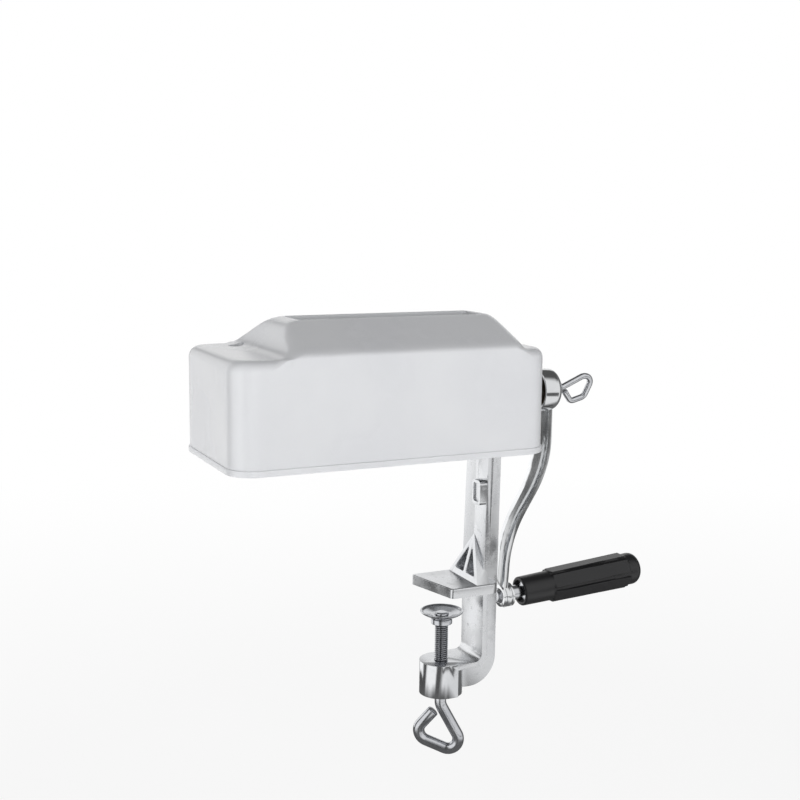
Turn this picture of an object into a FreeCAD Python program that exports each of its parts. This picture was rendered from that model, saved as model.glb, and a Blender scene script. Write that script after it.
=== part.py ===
"""Hand crank meat tenderizer: two meshed rollers of toothed blades under a white
cover, carried by a cast frame with a table clamp, and turned by a cranked arm.

Millimetres, +Z up. The origin is on the clamp screw's axis at the jaw's underside,
which is the table's top. X runs along the rollers towards the crank, and the front,
where the table's edge is passed, faces -Y. Every size is a plain number in SIZES,
is written to the sheet under its own name, and drives the pieces by expressions.
"""

import FreeCAD
import Part
import math
import os
import re
import Sketcher

SIZES = {
    # cover
    "cover_length": 185.0,
    "cover_width": 92.0,
    "cover_left": -142.0,
    "cover_below_rollers": 26.2,
    "cover_height": 59.3,
    "cover_wall": 2.5,
    "cover_corner": 14.0,
    "cover_edge": 6.0,
    "cover_edge_inside": 3.5,
    "rim_band_height": 3.4,
    "rim_band_proud": 0.8,
    "hump_height": 17.0,
    "hump_left_run": 24.0,
    "hump_right_run": 16.0,
    "hump_foot_corner": 19.0,
    "hump_top_corner": 4.0,
    "hump_lip": 1.4,
    "hump_brow_share": 0.3,
    "slot_length": 114.0,
    "slot_width": 24.0,
    "slot_corner": 2.5,
    "cover_screw_left_inset": 25.0,
    "cover_screw_side": 26.6,
    "cover_screw_boss": 4.8,
    "cover_screw_recess": 4.3,
    "cover_screw_recess_depth": 1.8,
    "cover_screw_radius": 1.9,
    "cover_screw_space": 0.3,
    "cover_screw_head_space": 0.6,
    "cover_screw_sink": 0.1,
    # rollers
    "roller_height": 114.0,
    "roller_spacing": 28.0,
    "blade_count": 15.0,
    "blades_shift": 2.0,
    "blade_pitch": 8.0,
    "blade_thickness": 1.6,
    "blade_tip": 17.0,
    "blade_root": 12.6,
    "blade_teeth": 12.0,
    "blade_tip_half_angle": 3.0,
    "spacer_radius": 8.0,
    "hex_flats": 12.4,
    "hex_fit": 0.08,
    "drive_journal": 6.0,
    "left_journal": 5.5,
    "driven_journal": 5.0,
    "end_play": 0.4,
    "shaft_past_head": 4.0,
    # gears
    "gear_module": 2.0,
    "gear_teeth": 14.0,
    "gear_width": 11.0,
    "gear_backlash": 0.36,
    "gear_root_space": 0.35,
    "gear_seat_flats": 8.4,
    "shaft_thread": 4.0,
    "shaft_thread_length": 9.0,
    "end_washer_radius": 8.0,
    "end_washer_thickness": 1.5,
    "end_nut_flats": 13.0,
    "end_nut_thickness": 6.0,
    # end plates, tie rods and combs
    "plate_thickness": 5.0,
    "left_plate_face": -103.0,
    "head_plate_face": 22.0,
    "plate_side_space": 2.5,
    "plate_below_rollers": 22.0,
    "plate_top_space": 4.0,
    "plate_corner": 8.0,
    "rod_radius": 3.5,
    "rod_end_radius": 2.5,
    "rod_end_length": 11.0,
    "upper_rod_inset": 8.0,
    "upper_rod_drop": 10.6,
    "lower_rod_inset": 4.5,
    "lower_rod_below_rollers": 7.0,
    "rod_nut_flats": 8.0,
    "rod_nut_thickness": 4.0,
    "ear_reach": 16.0,
    "ear_width": 14.0,
    "ear_thickness": 5.0,
    "comb_angle": 45.0,
    "comb_thickness": 2.0,
    "comb_finger_width": 3.0,
    "comb_tip_space": 1.0,
    "comb_blade_space": 2.0,
    "comb_spine_width": 8.0,
    "comb_tab_width": 5.0,
    "comb_slot_space": 0.15,
    "overlap": 1.0,
    # bushes
    "bush_wall": 2.0,
    "bush_flange": 2.0,
    "bush_flange_thickness": 1.4,
    "neck_bush_length": 14.0,
    "running_gap": 0.05,
    "seat_gap": 0.03,
    # frame casting
    "post_width": 26.0,
    "flange_thickness": 3.5,
    "flange_face_low": 20.5,
    "flange_face_top": 22.8,
    "flange_draft_start": 15.0,
    "post_into_head": 3.0,
    "web_thickness": 4.0,
    "web_edge_low": 35.8,
    "web_edge_top": 37.5,
    "web_heel": 17.5,
    "head_shoulder": 4.0,
    "arm_overlap": 2.0,
    "neck_radius": 11.0,
    "neck_root_radius": 13.5,
    "neck_end": 66.0,
    "neck_space": 0.3,
    "neck_root_space": 0.5,
    "jaw_half_width": 19.0,
    "jaw_thickness": 5.8,
    "jaw_nose_front": -3.0,
    "jaw_nose_back": -12.0,
    "jaw_heel": 28.6,
    "jaw_corner": 2.5,
    "jaw_heel_corner": 6.0,
    "jaw_edge": 1.0,
    "buttress_reach": 13.6,
    "buttress_height": 32.0,
    "buttress_band": 3.4,
    "buttress_rib": 3.0,
    "buttress_border": 1.7,
    "buttress_tip": 1.0,
    "buttress_floor": 0.5,
    "buttress_tip_sink": 0.4,
    "buttress_corner": 0.8,
    "lug_reach": 3.2,
    "lug_bottom": 52.0,
    "lug_top": 66.6,
    "lug_front": -13.0,
    "lug_back": -3.0,
    "lug_corner": 2.5,
    "lug_border": 1.8,
    "lug_recess": 1.0,
    "arm_top": -43.0,
    "arm_corner": 4.5,
    "boss_radius": 13.0,
    "boss_bottom": -63.0,
    "boss_reach": 5.0,
    "boss_edge": 1.2,
    # clamp screw and pad
    "screw_radius": 4.0,
    "screw_bottom": -66.0,
    "collar_top": -17.5,
    "collar_thickness": 3.0,
    "collar_radius": 6.35,
    "spigot_radius": 3.0,
    "pad_radius": 13.0,
    "pad_rim": -12.6,
    "pad_floor": -15.0,
    "pad_thickness": 1.4,
    "pad_lip": 1.0,
    "pad_bevel": 2.0,
    "pad_bevel_drop": 0.6,
    "pad_socket_radius": 6.0,
    "pad_play": 0.15,
    "rivet_radius": 4.3,
    "rivet_thickness": 1.4,
    "rivet_bevel": 1.2,
    "clamp_loop_rod": 3.5,
    "clamp_loop_turn": -35.0,
    "clamp_loop_right": 19.0,
    "clamp_loop_right_drop": 104.3,
    "clamp_loop_left": 17.4,
    "clamp_loop_left_drop": 91.3,
    "clamp_loop_shoulder": 71.0,
    "clamp_loop_end": 4.4,
    "clamp_loop_end_drop": 75.8,
    "clamp_loop_shoulder_bend": 8.4,
    "clamp_loop_right_bend": 6.5,
    "clamp_loop_left_bend": 6.5,
    # crank
    "hub_outer_face": 83.5,
    "hub_inner_face": 69.1,
    "hub_radius": 13.0,
    "hub_round": 5.0,
    "hub_edge": 1.0,
    "crank_square": 8.6,
    "crank_square_corner": 0.9,
    "crank_socket_depth": 10.4,
    "strip_thickness": 2.8,
    "strip_width": 10.0,
    "strip_face": 79.0,
    "arm_bend_top": 66.9,
    "arm_bend_top_round": 66.0,
    "arm_bend_low": 23.6,
    "arm_bend_low_face": 52.0,
    "arm_bend_low_round": 71.0,
    "arm_rib_thickness": 4.0,
    "arm_rib_hub": 9.6,
    "arm_rib_eye": 5.2,
    "arm_rib_rise": 4.0,
    "arm_rib_foot_space": 0.6,
    "arm_fold_back": 0.22,
    "arm_fold_rise": 0.84,
    "crank_radius": 127.2,
    "eye_face": 54.2,
    "eye_length": 7.3,
    "eye_radius": 7.0,
    "eye_rim_radius": 7.6,
    "eye_rim_thickness": 1.4,
    "eye_disc_back": 3.92,
    "eye_bore_overrun": 4.0,
    "grip_tilt": 3.7,
    # thumb screw
    "thumb_radius": 3.0,
    "thumb_length": 20.0,
    "thumb_hole_space": 0.2,
    "thumb_shoulder": 5.2,
    "thumb_shoulder_thickness": 2.0,
    "thumb_shoulder_bevel": 1.0,
    "thumb_washer_radius": 6.4,
    "thumb_washer_thickness": 1.0,
    "thumb_rod": 1.9,
    "thumb_loop_turn": 20.0,
    "thumb_loop_reach": 26.0,
    "thumb_loop_rise": 12.6,
    "thumb_loop_foot": 21.5,
    "thumb_loop_foot_drop": 6.7,
    "thumb_loop_heel": 12.3,
    "thumb_loop_heel_drop": 9.6,
    "thumb_loop_end": 6.5,
    "thumb_loop_end_drop": 2.4,
    "thumb_loop_neck": 1.5,
    "thumb_loop_neck_bend": 3.0,
    "thumb_loop_far_bend": 5.2,
    "thumb_loop_foot_bend": 4.0,
    "thumb_loop_heel_bend": 3.5,
    # grip and its pin
    "grip_start": 7.4,
    "grip_length": 88.0,
    "grip_small_radius": 9.1,
    "grip_large_radius": 10.2,
    "grip_rib_height": 1.4,
    "grip_rib_start": 20.0,
    "grip_rib_end": 77.6,
    "grip_rib_width": 9.0,
    "grip_rib_count": 6.0,
    "grip_dome": 3.0,
    "grip_dome_start": 3.0,
    "grip_dome_crown": 1.2,
    "grip_dome_inset": 0.4,
    "grip_rib_root": 1.5,
    "grip_rib_edge": 0.6,
    "grip_lip": 1.0,
    "pin_radius": 3.2,
    "pin_end": 74.0,
    "pin_flange_radius": 4.8,
    "pin_flange_start": 5.8,
    "pin_flange_thickness": 2.0,
    "pin_collar_radius": 4.6,
    "pin_collar_space": 0.5,
    "pin_head_radius": 5.0,
    "pin_head_thickness": 2.0,
    "pin_head_bevel": 1.6,
    "ferrule_radius": 6.8,
    "ferrule_thickness": 3.0,
    "ferrule_sink": 2.4,
    "grip_bore_depth": 76.0,
}

DOC = FreeCAD.newDocument("tenderizer")
SHEET = DOC.addObject("Spreadsheet::Sheet", "sizes")
READER = DOC.addObject("App::VarSet", "reader")
PIECES = []


def fill_sheet():
    """Write each size to its own cell, under its own name."""
    for row, (name, number) in enumerate(SIZES.items(), start=1):
        SHEET.set(f"A{row}", name)
        SHEET.set(f"B{row}", str(number))
        SHEET.setAlias(f"B{row}", name)
    DOC.recompute()


def on_sheet(text):
    """Put the sheet's name before each size that an expression names."""
    def named(word):
        return f"sizes.{word.group()}" if word.group() in SIZES else word.group()
    return re.sub(r"[a-z_]+", named, text)


def measure(text):
    """The number that an expression gives now."""
    number = READER.evalExpression(on_sheet(text))
    return float(getattr(number, "Value", number))


def bind(thing, field, text):
    """Tie a property to the sheet."""
    thing.setExpression(field, on_sheet(text))


def place(thing, x="0", y="0", z="0", axis=None, angle="0"):
    """Tie a piece's place, and its turn about one axis, to the sheet."""
    if axis:
        thing.Placement = FreeCAD.Placement(
            FreeCAD.Vector(0, 0, 0), FreeCAD.Rotation(FreeCAD.Vector(*axis), measure(angle))
        )
        bind(thing, "Placement.Rotation.Angle", angle)
    for letter, text in zip("xyz", (x, y, z)):
        if text != "0":
            bind(thing, f"Placement.Base.{letter}", text)


def new_body(label):
    """An empty body under the label of its piece."""
    body = DOC.addObject("PartDesign::Body", label)
    body.Label = label
    PIECES.append(body)
    return body


def new_sketch(body, plane, offset="0"):
    """A sketch on one of the body's own planes, moved along its normal."""
    sketch = body.newObject("Sketcher::SketchObject", "Sketch")
    base = next(f for f in body.Origin.OriginFeatures if f.Role == f"{plane}_Plane")
    sketch.AttachmentSupport = (base, [""])
    sketch.MapMode = "FlatFace"
    if offset != "0":
        bind(sketch, "AttachmentOffset.Base.z", offset)
    return sketch


class Outline:
    """Lines, arcs and circles for one sketch, with the rules that tie them to the sheet.

    The rules are added to the sketch together, so that it is solved once.
    """

    def __init__(self, sketch):
        self.sketch = sketch
        self.rules = []
        self.ties = []

    def hold(self, *rule, text=None):
        """Keep one rule, and the expression that drives it, if there is one."""
        if text:
            self.ties.append((len(self.rules), text))
        self.rules.append(Sketcher.Constraint(*rule))

    def pin(self, shape, end, x, y):
        """Hold a point at a place given by two expressions."""
        for kind, text, line in (("DistanceX", x, -2), ("DistanceY", y, -1)):
            if text == "0":
                self.hold("PointOnObject", shape, end, line)
            else:
                self.hold(kind, -1, 1, shape, end, measure(text), text=text)

    def lines(self, corners, closed):
        """Draw lines through the corners, each cut back where its corner is rounded."""
        count = len(corners)
        spots = [FreeCAD.Vector(measure(c[0]), measure(c[1]), 0) for c in corners]
        spans = count if closed else count - 1
        ways = [(spots[(i + 1) % count] - spots[i]).normalize() for i in range(spans)]
        cuts = [0.0] * count
        for i, corner in enumerate(corners):
            if len(corner) == 3:
                cuts[i] = measure(corner[2]) * math.tan(ways[i - 1].getAngle(ways[i]) / 2)
        drawn = []
        for i in range(spans):
            start = spots[i] + ways[i] * cuts[i]
            end = spots[(i + 1) % count] - ways[i] * cuts[(i + 1) % count]
            drawn.append(self.sketch.addGeometry(Part.LineSegment(start, end), False))
        for i, corner in enumerate(corners):
            if not closed and i == 0:
                self.pin(drawn[0], 1, corner[0], corner[1])
            elif not closed and i == count - 1:
                self.pin(drawn[-1], 2, corner[0], corner[1])
            elif len(corner) == 2:
                self.hold("Coincident", drawn[i - 1], 2, drawn[i], 1)
                self.pin(drawn[i - 1], 2, corner[0], corner[1])
            else:
                self.arc(corner, spots[i], (ways[i - 1], ways[i]), cuts[i],
                         (drawn[i - 1], drawn[i]))

    def arc(self, corner, spot, ways, cut, lines):
        """Join two lines by a tangent arc, with their sharp corner held in place."""
        radius = measure(corner[2])
        left = ways[0].cross(ways[1]).z > 0
        inward = FreeCAD.Vector(-ways[0].y, ways[0].x, 0) * (radius if left else -radius)
        centre = spot - ways[0] * cut + inward
        ends = [spot - ways[0] * cut - centre, spot + ways[1] * cut - centre]
        if not left:
            ends.reverse()
        first, last = (math.atan2(e.y, e.x) for e in ends)
        if last < first:
            last += 2 * math.pi
        circle = Part.Circle(centre, FreeCAD.Vector(0, 0, 1), radius)
        arc = self.sketch.addGeometry(Part.ArcOfCircle(circle, first, last), False)
        entry, leave = (1, 2) if left else (2, 1)
        self.hold("Tangent", lines[0], 2, arc, entry)
        self.hold("Tangent", arc, leave, lines[1], 1)
        point = self.sketch.addGeometry(Part.Point(spot), True)
        self.hold("PointOnObject", point, 1, lines[0])
        self.hold("PointOnObject", point, 1, lines[1])
        self.pin(point, 1, corner[0], corner[1])
        self.hold("Radius", arc, radius, text=corner[2])

    def circle(self, x, y, radius):
        """Draw a circle."""
        spot = FreeCAD.Vector(measure(x), measure(y), 0)
        circle = Part.Circle(spot, FreeCAD.Vector(0, 0, 1), measure(radius))
        shape = self.sketch.addGeometry(circle, False)
        self.pin(shape, 3, x, y)
        self.hold("Radius", shape, measure(radius), text=radius)

    def finish(self):
        """Add the rules to the sketch and tie them to the sheet."""
        first = len(self.sketch.Constraints)
        self.sketch.addConstraint(self.rules)
        for place_in_list, text in self.ties:
            bind(self.sketch, f"Constraints[{first + place_in_list}]", text)


def draw(sketch, corners, closed=True):
    """Draw lines through corners (x, y) or, where rounded, (x, y, radius)."""
    outline = Outline(sketch)
    outline.lines(corners, closed)
    outline.finish()


def ring(sketch, x, y, radius):
    """Draw a circle whose centre and radius are tied to the sheet."""
    outline = Outline(sketch)
    outline.circle(x, y, radius)
    outline.finish()


def box_corners(x_low, x_high, y_low, y_high, radius=None):
    """The corners of an upright rectangle, rounded where a radius is given."""
    corners = [(x_low, y_low), (x_high, y_low), (x_high, y_high), (x_low, y_high)]
    return [c + (radius,) for c in corners] if radius else corners


def pad(body, sketch, length, symmetric=False):
    """Add the sketch's outline as thick as the expression says."""
    feature = body.newObject("PartDesign::Pad", "Pad")
    feature.Profile = sketch
    feature.SideType = "Symmetric" if symmetric else "One side"
    bind(feature, "Length", length)
    DOC.recompute()
    return feature


def pocket(body, sketch, length=None, forward=True, symmetric=False):
    """Cut the outline along the plane's normal, or against it, and check that it cut."""
    before = body.Shape.Volume
    feature = body.newObject("PartDesign::Pocket", "Pocket")
    feature.Profile = sketch
    feature.Reversed = forward
    feature.SideType = "Symmetric" if symmetric else "One side"
    if length:
        bind(feature, "Length", length)
    else:
        feature.Type = "ThroughAll"
    DOC.recompute()
    check_cut(body, before)
    return feature


def check_cut(body, before):
    """Stop where a cut took nothing from its body."""
    if body.Shape.Volume > before - 0.01:
        raise RuntimeError(f"a cut in {body.Label} took nothing")


def turn(body, sketch, axis="V_Axis"):
    """Turn the outline once round an axis of its own sketch."""
    feature = body.newObject("PartDesign::Revolution", "Revolution")
    feature.Profile = sketch
    feature.ReferenceAxis = (sketch, [axis])
    feature.Angle = 360
    DOC.recompute()
    return feature


def along(body, path, profile):
    """Carry a round profile along an open path."""
    feature = body.newObject("PartDesign::AdditivePipe", "Pipe")
    feature.Profile = profile
    feature.Spine = (path, [f"Edge{i + 1}" for i in range(len(path.Shape.Edges))])
    DOC.recompute()
    return feature


def repeat_round(body, feature, count, axis="Z_Axis"):
    """Repeat a feature evenly round one of the body's axes."""
    pattern = body.newObject("PartDesign::PolarPattern", "PolarPattern")
    pattern.Originals = [feature]
    pattern.Axis = (next(f for f in body.Origin.OriginFeatures if f.Role == axis), [""])
    pattern.Angle = 360
    bind(pattern, "Occurrences", count)
    body.Tip = pattern
    DOC.recompute()
    return pattern


def repeat_along(body, feature, pitch, count, axis="X_Axis"):
    """Repeat a feature at an even pitch along one of the body's axes."""
    pattern = body.newObject("PartDesign::LinearPattern", "LinearPattern")
    pattern.Originals = [feature]
    pattern.Direction = (next(f for f in body.Origin.OriginFeatures if f.Role == axis), [""])
    pattern.Mode = "Spacing"
    bind(pattern, "Offset", pitch)
    bind(pattern, "Occurrences", count)
    body.Tip = pattern
    DOC.recompute()
    return pattern


def soften(body, radius, wanted):
    """Round those edges of the body so far for which wanted is true."""
    base = body.Tip
    names = [f"Edge{i + 1}" for i, edge in enumerate(base.Shape.Edges) if wanted(edge)]
    feature = body.newObject("PartDesign::Fillet", "Fillet")
    feature.Base = (base, names)
    bind(feature, "Radius", radius)
    DOC.recompute()
    return feature


def level(edge, height):
    """Whether an edge lies flat at one height."""
    box = edge.BoundBox
    return abs(box.ZMin - height) < 0.01 and abs(box.ZMax - height) < 0.01


def cylinder_along_x(body, plane_offset, length, radius, y="0", z="0"):
    """A round bar along X, from one place and of one length."""
    sketch = new_sketch(body, "YZ", plane_offset)
    ring(sketch, y, z, radius)
    return pad(body, sketch, length)


def hex_corners(flats):
    """The six corners of a hexagon by its width across flats."""
    reach = f"({flats}) / 2 / cos(30)"
    return [(f"{reach} * cos({a})", f"{reach} * sin({a})") for a in range(30, 390, 60)]


def square_corners(side, corner):
    """The corners of a square bar, each slightly rounded."""
    half = f"({side}) / 2"
    return box_corners(f"-{half}", half, f"-{half}", half, corner)


def turned(across, up, out, wide, angle):
    """A place given along and across a line that leans at an angle, on both axes."""
    x = f"{across} + ({out}) * cos({angle}) - ({wide}) * sin({angle})"
    y = f"{up} + ({out}) * sin({angle}) + ({wide}) * cos({angle})"
    return x, y


ROLLER_SIDE = "roller_spacing / 2"
COVER_BOTTOM = "(roller_height - cover_below_rollers)"
COVER_TOP = f"({COVER_BOTTOM} + cover_height)"
PLATE_BOTTOM = "(roller_height - plate_below_rollers)"
PLATE_TOP = f"({COVER_TOP} - cover_wall - plate_top_space)"
PLATE_HALF = "(cover_width / 2 - cover_wall - plate_side_space)"
POST_TOP = f"{PLATE_BOTTOM} + post_into_head"
UPPER_ROD = (f"({PLATE_HALF} - upper_rod_inset)", f"{PLATE_TOP} - upper_rod_drop")
LOWER_ROD = (f"({PLATE_HALF} - lower_rod_inset)", "roller_height - lower_rod_below_rollers")
ROD_PLACES = {
    "upper_front_tie_rod": (f"-{UPPER_ROD[0]}", UPPER_ROD[1]),
    "upper_rear_tie_rod": UPPER_ROD,
    "lower_front_tie_rod": (f"-{LOWER_ROD[0]}", LOWER_ROD[1]),
    "lower_rear_tie_rod": LOWER_ROD,
}
LEFT_OUTER = "left_plate_face - plate_thickness"
HEAD_OUTER = "head_plate_face + plate_thickness"
GEAR_INNER = f"{LEFT_OUTER} - bush_flange_thickness - end_play / 2"
GEAR_OUTER = f"{GEAR_INNER} - gear_width"
BLADES_MIDDLE = "(left_plate_face + head_plate_face) / 2 + blades_shift"
COVER_MIDDLE = "cover_left + cover_length / 2"
COVER_INNER_FACE = "cover_left + cover_length - cover_wall"
SLOT_MIDDLE = f"({BLADES_MIDDLE} - ({COVER_MIDDLE}))"
HUMP_RUNS = (0.0, 0.08, 0.16, 0.25, 0.36, 0.48, 0.60, 0.72, 0.84, 0.93, 1.0)
COMB_INNER = "spacer_radius + comb_tip_space"
COMB_SPINE = "blade_tip + comb_blade_space"
COMB_MIDDLE = f"{COMB_SPINE} + comb_spine_width / 2"


def plate_corners(low_corners):
    """An end plate's outline in Y and Z above its own lower corners."""
    return low_corners + [
        (PLATE_HALF, PLATE_BOTTOM, "plate_corner / 2"),
        (PLATE_HALF, PLATE_TOP, "plate_corner"),
        (f"-{PLATE_HALF}", PLATE_TOP, "plate_corner"),
        (f"-{PLATE_HALF}", PLATE_BOTTOM, "plate_corner / 2"),
    ]


def drill_plate(body, face):
    """Cut the tie rods' holes and the combs' slots through an end plate."""
    holes = new_sketch(body, "YZ", face)
    for side, height in ROD_PLACES.values():
        ring(holes, side, height, "rod_end_radius + running_gap")
    pocket(body, holes, "plate_thickness")
    for sign, angle in ((1, "-comb_angle"), (-1, "180 + comb_angle")):
        slot = new_sketch(body, "YZ", face)
        half_long = "(comb_tab_width / 2 + comb_slot_space)"
        half_thick = "(comb_thickness / 2 + comb_slot_space)"
        across = f"{sign} * {ROLLER_SIDE}"
        ends = [(-1, -1), (1, -1), (1, 1), (-1, 1)]
        draw(slot, [
            turned(across, "roller_height", f"{COMB_MIDDLE} + {u} * {half_long}",
                   f"{v} * {half_thick}", angle)
            for u, v in ends
        ])
        pocket(body, slot, "plate_thickness")


def frame_casting():
    """The cast frame: clamp arm, post, jaw, bearing head and the crank's long neck."""
    body = new_body("frame_casting")
    flange = new_sketch(body, "XZ")
    draw(flange, [
        ("flange_face_top", POST_TOP),
        ("flange_face_low", "flange_draft_start"),
        ("flange_face_low", "arm_top", "arm_corner"),
        ("boss_reach - arm_overlap", "arm_top"),
        ("boss_reach - arm_overlap", "arm_top - flange_thickness"),
        ("flange_face_low + flange_thickness", "arm_top - flange_thickness",
         "arm_corner + flange_thickness"),
        ("flange_face_low + flange_thickness", "flange_draft_start"),
        ("flange_face_top + flange_thickness", POST_TOP),
    ])
    pad(body, flange, "post_width", symmetric=True)

    web = new_sketch(body, "XZ")
    draw(web, [
        ("flange_face_low + flange_thickness / 2", "roller_height - neck_radius / 2"),
        ("flange_face_low + flange_thickness / 2", "arm_top - flange_thickness / 2"),
        ("boss_reach - arm_overlap", "arm_top - flange_thickness / 2"),
        ("boss_reach - arm_overlap", "boss_bottom + boss_edge"),
        ("web_edge_low", "boss_bottom + boss_edge / 2", "web_heel"),
        ("web_edge_low", "arm_top + web_heel"),
        ("web_edge_top", "roller_height - neck_radius / 2"),
    ])
    pad(body, web, "web_thickness", symmetric=True)

    boss = new_sketch(body, "XY", "boss_bottom")
    ring(boss, "0", "0", "boss_radius")
    pad(body, boss, "arm_top - boss_bottom")
    heel = new_sketch(body, "XY", "boss_bottom")
    draw(heel, box_corners("0", "boss_reach", "-boss_radius", "boss_radius"))
    pad(body, heel, "arm_top - boss_bottom")

    jaw = new_sketch(body, "XY")
    draw(jaw, [
        ("jaw_nose_front", "-jaw_half_width", "jaw_corner"),
        ("jaw_heel", "-jaw_half_width", "jaw_heel_corner"),
        ("jaw_heel", "jaw_half_width", "jaw_heel_corner"),
        ("jaw_nose_back", "jaw_half_width", "jaw_corner"),
    ])
    pad(body, jaw, "jaw_thickness")
    soften(body, "jaw_edge", lambda e: level(e, measure("jaw_thickness")) and beside_jaw(e))

    buttress(body)

    lug = new_sketch(body, "YZ", "flange_face_low + flange_thickness / 2")
    draw(lug, box_corners("lug_front", "lug_back", "lug_bottom", "lug_top", "lug_corner"))
    feature = pad(body, lug, "lug_reach + flange_thickness / 2")
    feature.Reversed = True
    DOC.recompute()
    recess = new_sketch(body, "YZ", "flange_face_low - lug_reach")
    draw(recess, box_corners(
        "lug_front + lug_border", "lug_back - lug_border",
        "lug_bottom + lug_border", "lug_top - lug_border", "lug_corner / 2"))
    pocket(body, recess, "lug_recess")

    head = new_sketch(body, "YZ", "head_plate_face")
    draw(head, plate_corners([
        ("-post_width / 2", f"{PLATE_BOTTOM} - head_shoulder"),
        ("post_width / 2", f"{PLATE_BOTTOM} - head_shoulder"),
        ("post_width / 2 + head_shoulder", PLATE_BOTTOM),
    ])[:-1] + [
        (f"-{PLATE_HALF}", PLATE_BOTTOM, "plate_corner / 2"),
        ("-post_width / 2 - head_shoulder", PLATE_BOTTOM),
    ])
    pad(body, head, "plate_thickness")
    cylinder_along_x(body, HEAD_OUTER, f"{COVER_INNER_FACE} - neck_root_space - ({HEAD_OUTER})",
                     "neck_root_radius", ROLLER_SIDE, "roller_height")
    cylinder_along_x(body, HEAD_OUTER, f"neck_end - ({HEAD_OUTER})", "neck_radius",
                     ROLLER_SIDE, "roller_height")

    bores = new_sketch(body, "YZ", "head_plate_face")
    ring(bores, ROLLER_SIDE, "roller_height", "drive_journal + bush_wall + running_gap")
    pocket(body, bores, "neck_end")
    driven = new_sketch(body, "YZ", "head_plate_face")
    ring(driven, f"-{ROLLER_SIDE}", "roller_height", "driven_journal + bush_wall + running_gap")
    pocket(body, driven, "plate_thickness")
    drill_plate(body, "head_plate_face")

    thread = new_sketch(body, "XY", "boss_bottom")
    ring(thread, "0", "0", "screw_radius + running_gap")
    pocket(body, thread, "arm_top - boss_bottom")
    return body


def beside_jaw(edge):
    """Whether an edge of the jaw's top is clear of the post that stands on it."""
    return edge.CenterOfMass.x < measure("flange_face_low") or (
        abs(edge.CenterOfMass.y) > measure("post_width") / 2)


def buttress(body):
    """Brace the post on the jaw with a flared foot, hollowed either side of a rib."""
    foot = "(jaw_half_width - jaw_edge / 2)"
    base = new_sketch(body, "XY", "jaw_thickness - jaw_edge")
    draw(base, box_corners("buttress_reach", "flange_face_low + flange_thickness / 2",
                           f"-{foot}", foot))
    tip = new_sketch(body, "XY", "buttress_height")
    draw(tip, box_corners("flange_face_low + buttress_tip_sink",
                          "flange_face_low + flange_thickness / 2",
                          "-buttress_tip / 2", "buttress_tip / 2"))
    loft = body.newObject("PartDesign::AdditiveLoft", "Loft")
    loft.Profile = base
    loft.Sections = [tip]
    loft.Ruled = True
    DOC.recompute()
    low = "jaw_thickness + buttress_band"
    slant = f"({foot} - buttress_tip / 2) / (buttress_height - jaw_thickness + jaw_edge)"
    outer = f"{foot} - (buttress_band + jaw_edge) * ({slant}) - 2 * buttress_border"
    for sign in ("", "-"):
        hollow = new_sketch(body, "YZ", "flange_face_low - buttress_floor")
        inner = "buttress_rib / 2"
        peak = f"{low} + (({outer}) - ({inner})) / ({slant})"
        draw(hollow, [
            (f"{sign}({inner})", low, "buttress_corner"),
            (f"{sign}({outer})", low, "buttress_corner"),
            (f"{sign}({inner})", peak, "buttress_corner"),
        ])
        pocket(body, hollow, forward=False)


def left_end_plate():
    """The far plate that carries the rollers' other ends and the cover's ear."""
    body = new_body("left_end_plate")
    face = new_sketch(body, "YZ", LEFT_OUTER)
    draw(face, plate_corners([]))
    pad(body, face, "plate_thickness")
    bores = new_sketch(body, "YZ", LEFT_OUTER)
    for side in (ROLLER_SIDE, f"-{ROLLER_SIDE}"):
        ring(bores, side, "roller_height", "left_journal + bush_wall + running_gap")
    pocket(body, bores, "plate_thickness")
    drill_plate(body, LEFT_OUTER)
    ear = new_sketch(body, "XY", f"{PLATE_TOP} - ear_thickness")
    draw(ear, box_corners(
        f"{LEFT_OUTER} - ear_reach", "left_plate_face",
        "cover_screw_side - ear_width / 2", "cover_screw_side + ear_width / 2"))
    pad(body, ear, "ear_thickness")
    hole = new_sketch(body, "XY", f"{PLATE_TOP} - ear_thickness")
    ring(hole, "cover_left + cover_screw_left_inset", "cover_screw_side",
         "cover_screw_radius + seat_gap")
    pocket(body, hole, "ear_thickness")
    return body


def tie_rod(name):
    """One shouldered rod that holds the end plates apart."""
    body = new_body(name)
    side, height = ROD_PLACES[name]
    place(body, y=side, z=height)
    cylinder_along_x(body, "left_plate_face", "head_plate_face - left_plate_face", "rod_radius")
    cylinder_along_x(body, "left_plate_face - rod_end_length",
                     "head_plate_face - left_plate_face + 2 * rod_end_length",
                     "rod_end_radius")
    return body


def nut_on_x(body, start, flats, thickness, bore, y="0", z="0"):
    """A hexagonal nut along X with its bore."""
    sketch = new_sketch(body, "YZ", start)
    draw(sketch, [(f"{y} + {a}", f"{z} + {b}") for a, b in hex_corners(flats)])
    ring(sketch, y, z, bore)
    return pad(body, sketch, thickness)


def tie_rod_nuts():
    """Eight nuts, one at each end of each tie rod."""
    body = new_body("tie_rod_nuts")
    for side, height in ROD_PLACES.values():
        for start in (f"{LEFT_OUTER} - rod_nut_thickness", HEAD_OUTER):
            nut_on_x(body, start, "rod_nut_flats", "rod_nut_thickness",
                     "rod_end_radius + seat_gap", side, height)
    return body


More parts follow.
